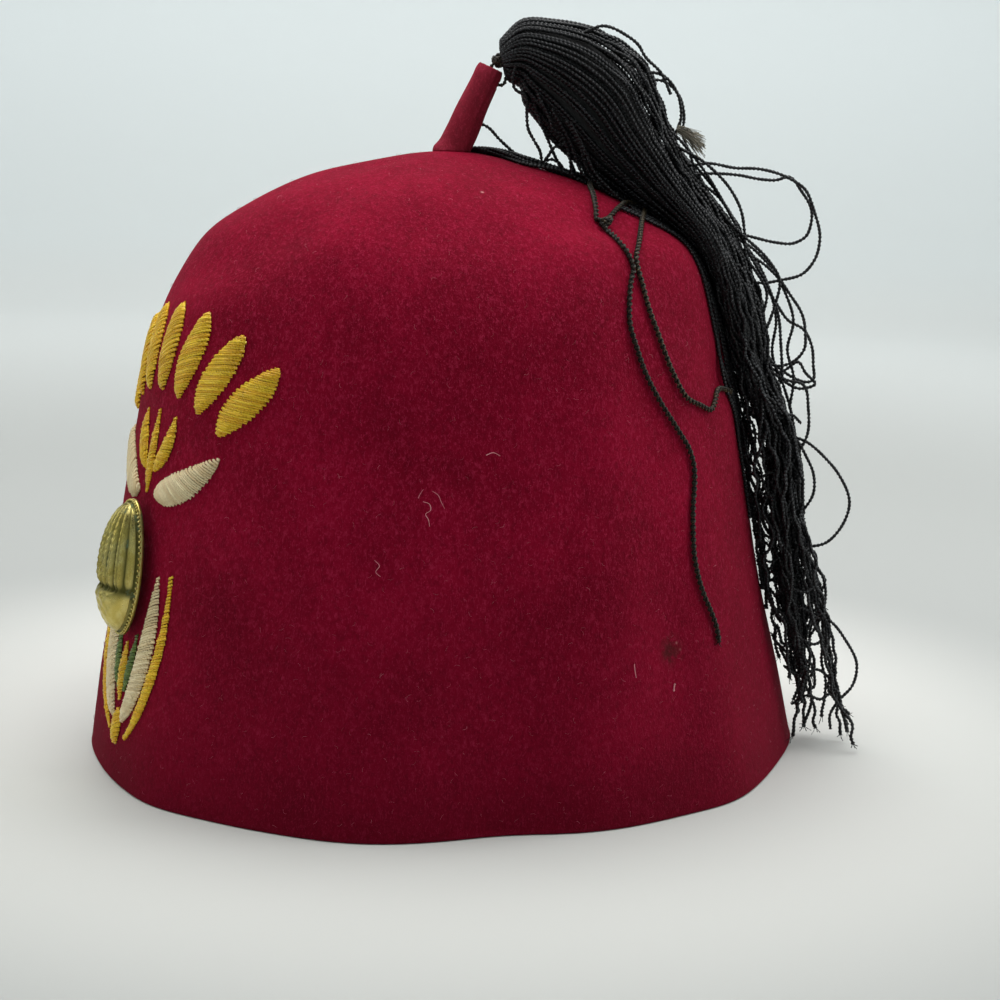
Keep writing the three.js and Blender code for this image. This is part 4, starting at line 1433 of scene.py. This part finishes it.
def stitch_lines(path, wide, chance):
    """One line per thread, laid over the leaf from edge to edge and a little aslant."""
    a, b, c = np.array(path, float)
    through_b = 2 * b - (a + c) / 2
    length = np.linalg.norm(b - a) + np.linalg.norm(c - b)
    count = int(length / THREAD_PITCH)
    lines = []
    for k in range(count):
        t = (k + 0.5 + chance.uniform(-0.12, 0.12)) / count
        at = (1 - t) ** 2 * a + 2 * t * (1 - t) * through_b + t * t * c
        way = unit((1 - t) * (through_b - a) + t * (c - through_b))
        aside = np.array([way[1], -way[0]])
        half = max(wide / 2 * math.sin(math.pi * t) ** 0.7, 0.5)
        half = half * (1 + (0.05 if k % 2 else -0.05)) + chance.uniform(-0.12, 0.18)
        over = np.linspace(-1, 1, 9)
        place = at + np.multiply.outer(over * half, aside)
        place = place + np.multiply.outer(over * half * THREAD_SLANT, way)
        rise = 0.12 + (STITCH_RISE - 0.3) * min(half / 2, 1) * (1 - np.abs(over) ** 3.5)
        lines.append(on_front(place[:, 0], place[:, 1], rise + chance.uniform(-0.05, 0.05)))
    return lines


def make_leaf(name, shade, wide, path, seed):
    chance = np.random.default_rng(seed)
    lines = stitch_lines(path, wide, chance)
    girth = [np.full(len(line), chance.uniform(0.92, 1.1)) for line in lines]
    phase = [np.full(len(line), chance.uniform(0, 6)) for line in lines]
    tone = [np.full(len(line), chance.uniform(0, 1)) for line in lines]
    source = lines_object(name + "_lines", lines, girth=girth, phase=phase, tone=tone)
    material, slot = THREADS[shade]
    leaf = YARN.make(
        name + "_stitches",
        source,
        Width=THREAD_WIDE * 1.06 * MM,
        Thickness=THREAD_WIDE * MM,
        Twist=THREAD_TWIST * MM,
        Step=0.8 * MM,
        Sides=6,
        Material=material,
    )
    return finished(leaf, None, slot, name)


def make_stitching():
    for k in range(FAN["leaves"]):
        turn = math.radians(FAN["apart"] * (k - (FAN["leaves"] - 1) / 2))
        path = [
            (far * math.sin(turn), FAN["up"] + far * math.cos(turn))
            for far in (FAN["from"], (FAN["from"] + FAN["to"]) / 2, FAN["to"])
        ]
        make_leaf(f"fan_leaf_{k + 1}", "gold", FAN["wide"], path, 100 + k)
    for k, (name, shade, wide, path) in enumerate(MIDDLE_PIECES):
        make_leaf(name, shade, wide, path, 120 + k)
    for k, (name, shade, wide, path) in enumerate(SIDE_PIECES):
        make_leaf(name + "_left", shade, wide, path, 140 + k)
        mirrored = [(-u, up) for u, up in path]
        make_leaf(name + "_right", shade, wide, mirrored, 160 + k)


make_stitching()


# The cast bud

BUD = {"up": 58, "wide": 9, "tall": 18, "plate": 1.2, "relief": 7.5, "stand_off": 2.4}
BUD_RIBS = 7
BUD_COLUMNS = 160
BUD_RINGS = 58
BEADS = 72
BEAD_RADIUS = 0.42
POST_RADIUS = 1.0
POSTS_APART = 18.0
BRASS = brass_finish()


def bud_height(x, y):
    """The relief over the plate for x and y from -1 to 1, and how deep it lies in a hollow."""
    inside = np.clip(1 - x * x - y * y, 0, 1)
    across = x / np.sqrt(np.clip(1 - y * y, 0.02, 1))
    rib = np.abs(np.sin(math.pi / 2 * BUD_RIBS * across))
    cup = ease((-y - 0.28) / 0.08)
    waist = np.exp(-0.5 * ((y + 0.3) / 0.06) ** 2)
    ribs = (1 - cup) * 0.16 * (rib - 1)
    vein = (1 - cup) * 0.035 * np.exp(-((rib - 1) / 0.03) ** 2)
    barbs = (1 - cup) * 0.014 * np.sin(58 * y + 9 * np.abs(rib)) * ease(rib * 2)
    scales = cup * 0.03 * np.sin(26 * y) * np.sin(15 * across)
    height = np.sqrt(inside) * (0.94 + ribs + 0.06 * cup - 0.14 * waist - vein + barbs + scales)
    hollow = np.clip(((1 - rib) * (1 - cup)) ** 2 + waist * 0.8 + vein * 12, 0, 1)
    return height, hollow


def make_bud():
    """The bud on its plate, with a row of beads round the edge and two posts behind."""
    turns = np.arange(BUD_COLUMNS) * math.tau / BUD_COLUMNS
    middle = on_front(0, BUD["up"], 0)
    _, normal = crown_at(FRONT_BEARING, BUD["up"])
    across = unit(np.cross((0, 0, 1), normal))
    along = np.cross(normal, across)

    def put(x, y, off):
        return (
            middle
            + np.multiply.outer(x * BUD["wide"], across)
            + np.multiply.outer(y * BUD["tall"], along)
            + np.multiply.outer(off, normal)
        )

    def circle(count):
        round_ = np.arange(count) * math.tau / count
        return np.multiply.outer(np.cos(round_), across) + np.multiply.outer(np.sin(round_), along)

    face = BUD["stand_off"] + BUD["plate"]
    rings, hollows = [], []

    def ring(scale, off, dark):
        x, y = scale * np.cos(turns), scale * np.sin(turns)
        rings.append(put(x, y, off + 0 * turns))
        hollows.append(dark + 0 * turns)

    ring(0.97, BUD["stand_off"], 1)
    ring(1, BUD["stand_off"] + 0.25, 0.6)
    ring(1, face - 0.25, 0.1)
    ring(0.98, face, 0)
    ring(0.955, face - 0.05, 0.7)
    for k in range(BUD_RINGS):
        scale = 0.94 * math.cos(math.pi / 2 * k / BUD_RINGS)
        x, y = scale * np.cos(turns), scale * np.sin(turns)
        height, hollow = bud_height(x / 0.95, y / 0.95)
        ring(scale, face + BUD["relief"] * height, hollow + 0.6 * (k < 2))
    bodies = [capped(np.array(rings))]
    dark = [np.concatenate(hollows), [1.0], [0.0]]
    for k in range(BEADS):
        angle = math.tau * (k + 0.5) / BEADS
        centre = put(0.975 * math.cos(angle), 0.975 * math.sin(angle), face + 0.1)
        bead = capped(np.array([
            centre
            + BEAD_RADIUS * math.cos(tilt) * circle(8)
            + BEAD_RADIUS * math.sin(tilt) * normal
            for tilt in np.radians((-50, -10, 30, 65))
        ]))
        bodies.append(bead)
        dark.append(np.full(len(bead[0]), 0.05))
    for side in (-1, 1):
        foot = on_front(0, BUD["up"] + side * POSTS_APART / 2, 0.05)
        post = capped(np.array([
            foot + POST_RADIUS * circle(16) + normal * rise
            for rise in (0, BUD["stand_off"] + 0.5)
        ]))
        bodies.append(post)
        dark.append(np.full(len(post[0]), 0.8))
    bud = mesh_object("cast_bud", *joined(bodies))
    point_values(bud.data, "hollow", np.clip(np.concatenate(dark), 0, 1))
    return finished(bud, BRASS, "brass", "brass_bud")


make_bud()


# The felt's nap

LINT = lint_finish()
LINT_DENSITY = 42000.0
LINT_LENGTH = 1.6
LINT_GIRTH = 0.017
LINT_ROWS = 60
LINT_COLUMNS = 120


def lint_recipe():
    """Short bent fibres scattered over a face, each turned and toned at random."""
    nap = Recipe("lint", Density=0.0, Length=0.0, Girth=0.0, Seed=3, Material=None)
    sockets = {
        "Mesh": nap.input("Geometry"),
        "Density": nap.input("Density"),
        "Seed": nap.input("Seed"),
    }
    points = nap.node("GeometryNodeDistributePointsOnFaces", {}, sockets)
    facing = Value(nap, points.socket.node.outputs["Rotation"])
    sockets = {"Axis": (0, 0, 1), "Angle": nap.chance(0.0, math.tau, 5)}
    turn = nap.node("FunctionNodeAxisAngleToRotation", {}, sockets)
    turned = nap.node("FunctionNodeRotateRotation", {"rotation_space": "LOCAL"}, (facing, turn))
    bent = nap.node(
        "GeometryNodeCurveQuadraticBezier",
        {},
        {"Resolution": 5, "Start": (0, 0, -0.1), "Middle": (0.4, 0.45, 0.5), "End": (1, 0, 0.06)},
    )
    ring = nap.ring(3, nap.input("Girth"))
    sockets = {"Curve": bent, "Profile Curve": ring, "Fill Caps": True}
    fibre = nap.node("GeometryNodeCurveToMesh", {}, sockets)
    sockets = {
        "Points": points,
        "Instance": fibre,
        "Rotation": turned,
        "Scale": nap.chance(0.35, 1.0, 7) * nap.input("Length"),
    }
    fibres = nap.node("GeometryNodeInstanceOnPoints", {}, sockets)
    sockets = {"Geometry": fibres, "Name": "tone", "Value": nap.chance(0.0, 1.0, 9)}
    nap.dress(nap.node("GeometryNodeStoreNamedAttribute", {"domain": "INSTANCE"}, sockets))
    return nap


def make_lint():
    bearings = np.arange(LINT_COLUMNS) * 360 / LINT_COLUMNS
    rings = [
        crown_at(bearings, np.full_like(bearings, up))[0]
        for up in np.linspace(2, CROWN_UP * 0.96, LINT_ROWS)
    ]
    faces = grid_faces(LINT_ROWS, LINT_COLUMNS)
    face = mesh_object("lint_ground", np.concatenate(rings), faces)
    lint = lint_recipe().make(
        "felt_nap",
        face,
        Density=LINT_DENSITY,
        Length=LINT_LENGTH * MM,
        Girth=LINT_GIRTH,
        Material=LINT,
    )
    finished(lint, None, "felt")


# Pale threads and hairs caught on the felt, as bearing and distance up the wall.
PALE_OFF = 0.14
PALE_THREADS = [
    [(16.2, 34.2), (15.9, 33.2), (15.7, 32.2)],
]
PALE_HAIRS = [
    [(8, 41.4), (8, 39.6), (8.1, 37.8)],
    [(-26.5, 87.6), (-27, 86.4), (-27.3, 85.4)],
    [(-26.5, 84.6), (-25.4, 84), (-25.2, 82.5), (-26, 81.6), (-25.5, 80.2), (-25.3, 78.6)],
    [(-25, 87.2), (-24, 86.2), (-23.5, 84.6), (-22.9, 83)],
    [(-16, 96), (-14.8, 96.6), (-13.6, 95.8)],
    [(-34, 70), (-33.2, 68.6), (-33.8, 67.2), (-33, 66)],
]


def make_pale_hairs():
    pale = hair_finish("pale_hair", colour(204, 112, 130), colour(238, 168, 176))
    kinds = [("pale_threads", PALE_THREADS, 0.42), ("pale_hairs", PALE_HAIRS, 0.14)]
    for name, routes, scale in kinds:
        lines = [laid_line(route, PALE_OFF, 0.3) for route in routes]
        finished(cords(name, lines, pale, scale=scale, step=0.3, seed=52), None, "felt")


make_lint()
make_pale_hairs()


# The floor, the light and the camera

FLOOR_LEVEL = -0.1
FLOOR_RADIUS = 1150
WALL_CURVE = 500
WALL_HEIGHT = 1700
# The lights: place and target in the plane across the view, as reach, height and depth in
# millimetres, then size in metres, power in watts and colour.
LIGHTS = [
    ("overhead", (-60, 950, -150), (0, 100, 0), 0.9, 9.5, (1, 1, 1)),
    ("window", (720, 600, -130), (0, 100, 0), 0.7, 3.5, (0.97, 0.98, 1)),
    ("left window", (-750, 560, 0), (0, 80, 0), 0.8, 1.3, (1, 1, 1)),
    ("backdrop", (0, 1250, -700), (0, 750, -1650), 0.8, 8.8, (1, 1, 1)),
]
WORLD_COLOUR = (0.9, 0.95, 1, 1)
WORLD_STRENGTH = 0.105


def make_stage():
    """A round floor that curves up into a wall, with its own paint: painted shade in a ring on the
    floor round the hat, and painted light making the wall paler towards the top.
    """
    turns = np.radians(np.arange(96) * 360 / 96)
    profile = [(radius, FLOOR_LEVEL) for radius in (150, 400, 900, FLOOR_RADIUS)]
    for angle in np.radians(np.arange(10, 91, 10)):
        profile.append((
            FLOOR_RADIUS + WALL_CURVE * math.sin(angle),
            WALL_CURVE * (1 - math.cos(angle)) + FLOOR_LEVEL,
        ))
    profile.append((FLOOR_RADIUS + WALL_CURVE, WALL_HEIGHT))
    rings = np.array([
        np.stack([r * np.cos(turns), r * np.sin(turns), np.full_like(turns, z)], axis=-1)
        for r, z in profile
    ])
    points = np.concatenate([rings.reshape(-1, 3), [[0, 0, FLOOR_LEVEL]]])
    faces = grid_faces(len(profile), len(turns))[:, ::-1].tolist()
    faces += [(len(points) - 1, j, (j + 1) % len(turns)) for j in range(len(turns))]
    backdrop = mesh_object("backdrop", points, faces)
    paint = Finish("pale_paint", Roughness=0.95, Specular_IOR_Level=0.05)
    x, y, height = (paint.coordinate(axis) for axis in "XYZ")
    far = (x * x + y * y).maths("SQRT")
    # painted shade: the floor darker in a ring from 0.12 to 0.24 m out from the hat's middle, paler
    # again from 0.42 to 1.1 m
    dim = paint.band(far, 0.12, 0.24)
    ground = paint.mix(dim, colour(209, 210, 205), colour(173, 175, 172))
    ground = paint.mix(paint.band(far, 0.42, 1.1), ground, colour(216, 219, 217))
    # painted light: the wall paler towards the top, over its first 0.3 m
    wall = paint.mix(paint.band(height, 0.0, 0.3), colour(216, 221, 220), colour(232, 238, 238))
    shade = paint.mix(paint.band(height, -0.0001, 0.05), ground, wall)
    backdrop.data.materials.append(paint.done(Base_Color=shade))


def make_lights():
    for name, place, target, size, watts, tint in LIGHTS:
        light = bpy.data.lights.new(name, "AREA")
        light.shape = "DISK"
        light.size = size
        light.energy = watts
        light.color = tint
        lamp = placed(name, light)
        lamp.location = in_plane(*place) * MM
        way = Vector(in_plane(*target) * MM) - Vector(in_plane(*place) * MM)
        lamp.rotation_euler = way.to_track_quat("-Z", "Y").to_euler()
    world = bpy.data.worlds.new("studio")
    bpy.context.scene.world = world
    world.use_nodes = True
    sky = world.node_tree.nodes["Background"].inputs
    sky["Color"].default_value = WORLD_COLOUR
    sky["Strength"].default_value = WORLD_STRENGTH


def make_camera():
    """The photograph's camera."""
    down, roll = math.radians(VIEW_DOWN), math.radians(VIEW_ROLL)
    ahead = -OUTWARD * math.cos(down) - UPWARD * math.sin(down)
    over = np.cross(ACROSS, ahead)
    right = ACROSS * math.cos(roll) + over * math.sin(roll)
    above = -ACROSS * math.sin(roll) + over * math.cos(roll)
    lens = bpy.data.cameras.new("camera")
    lens.lens = LENS
    lens.sensor_width = SENSOR
    lens.clip_start = 0.01
    camera = placed("camera", lens)
    place = (OUTWARD * VIEW_DISTANCE + UPWARD * VIEW_HEIGHT + ACROSS * VIEW_SIDE) * MM
    rows = [[right[k], above[k], -ahead[k], place[k]] for k in range(3)]
    camera.matrix_world = Matrix(rows + [[0, 0, 0, 1]])
    bpy.context.scene.camera = camera


make_stage()
make_lights()
make_camera()
bpy.context.scene.view_settings.view_transform = "Standard"
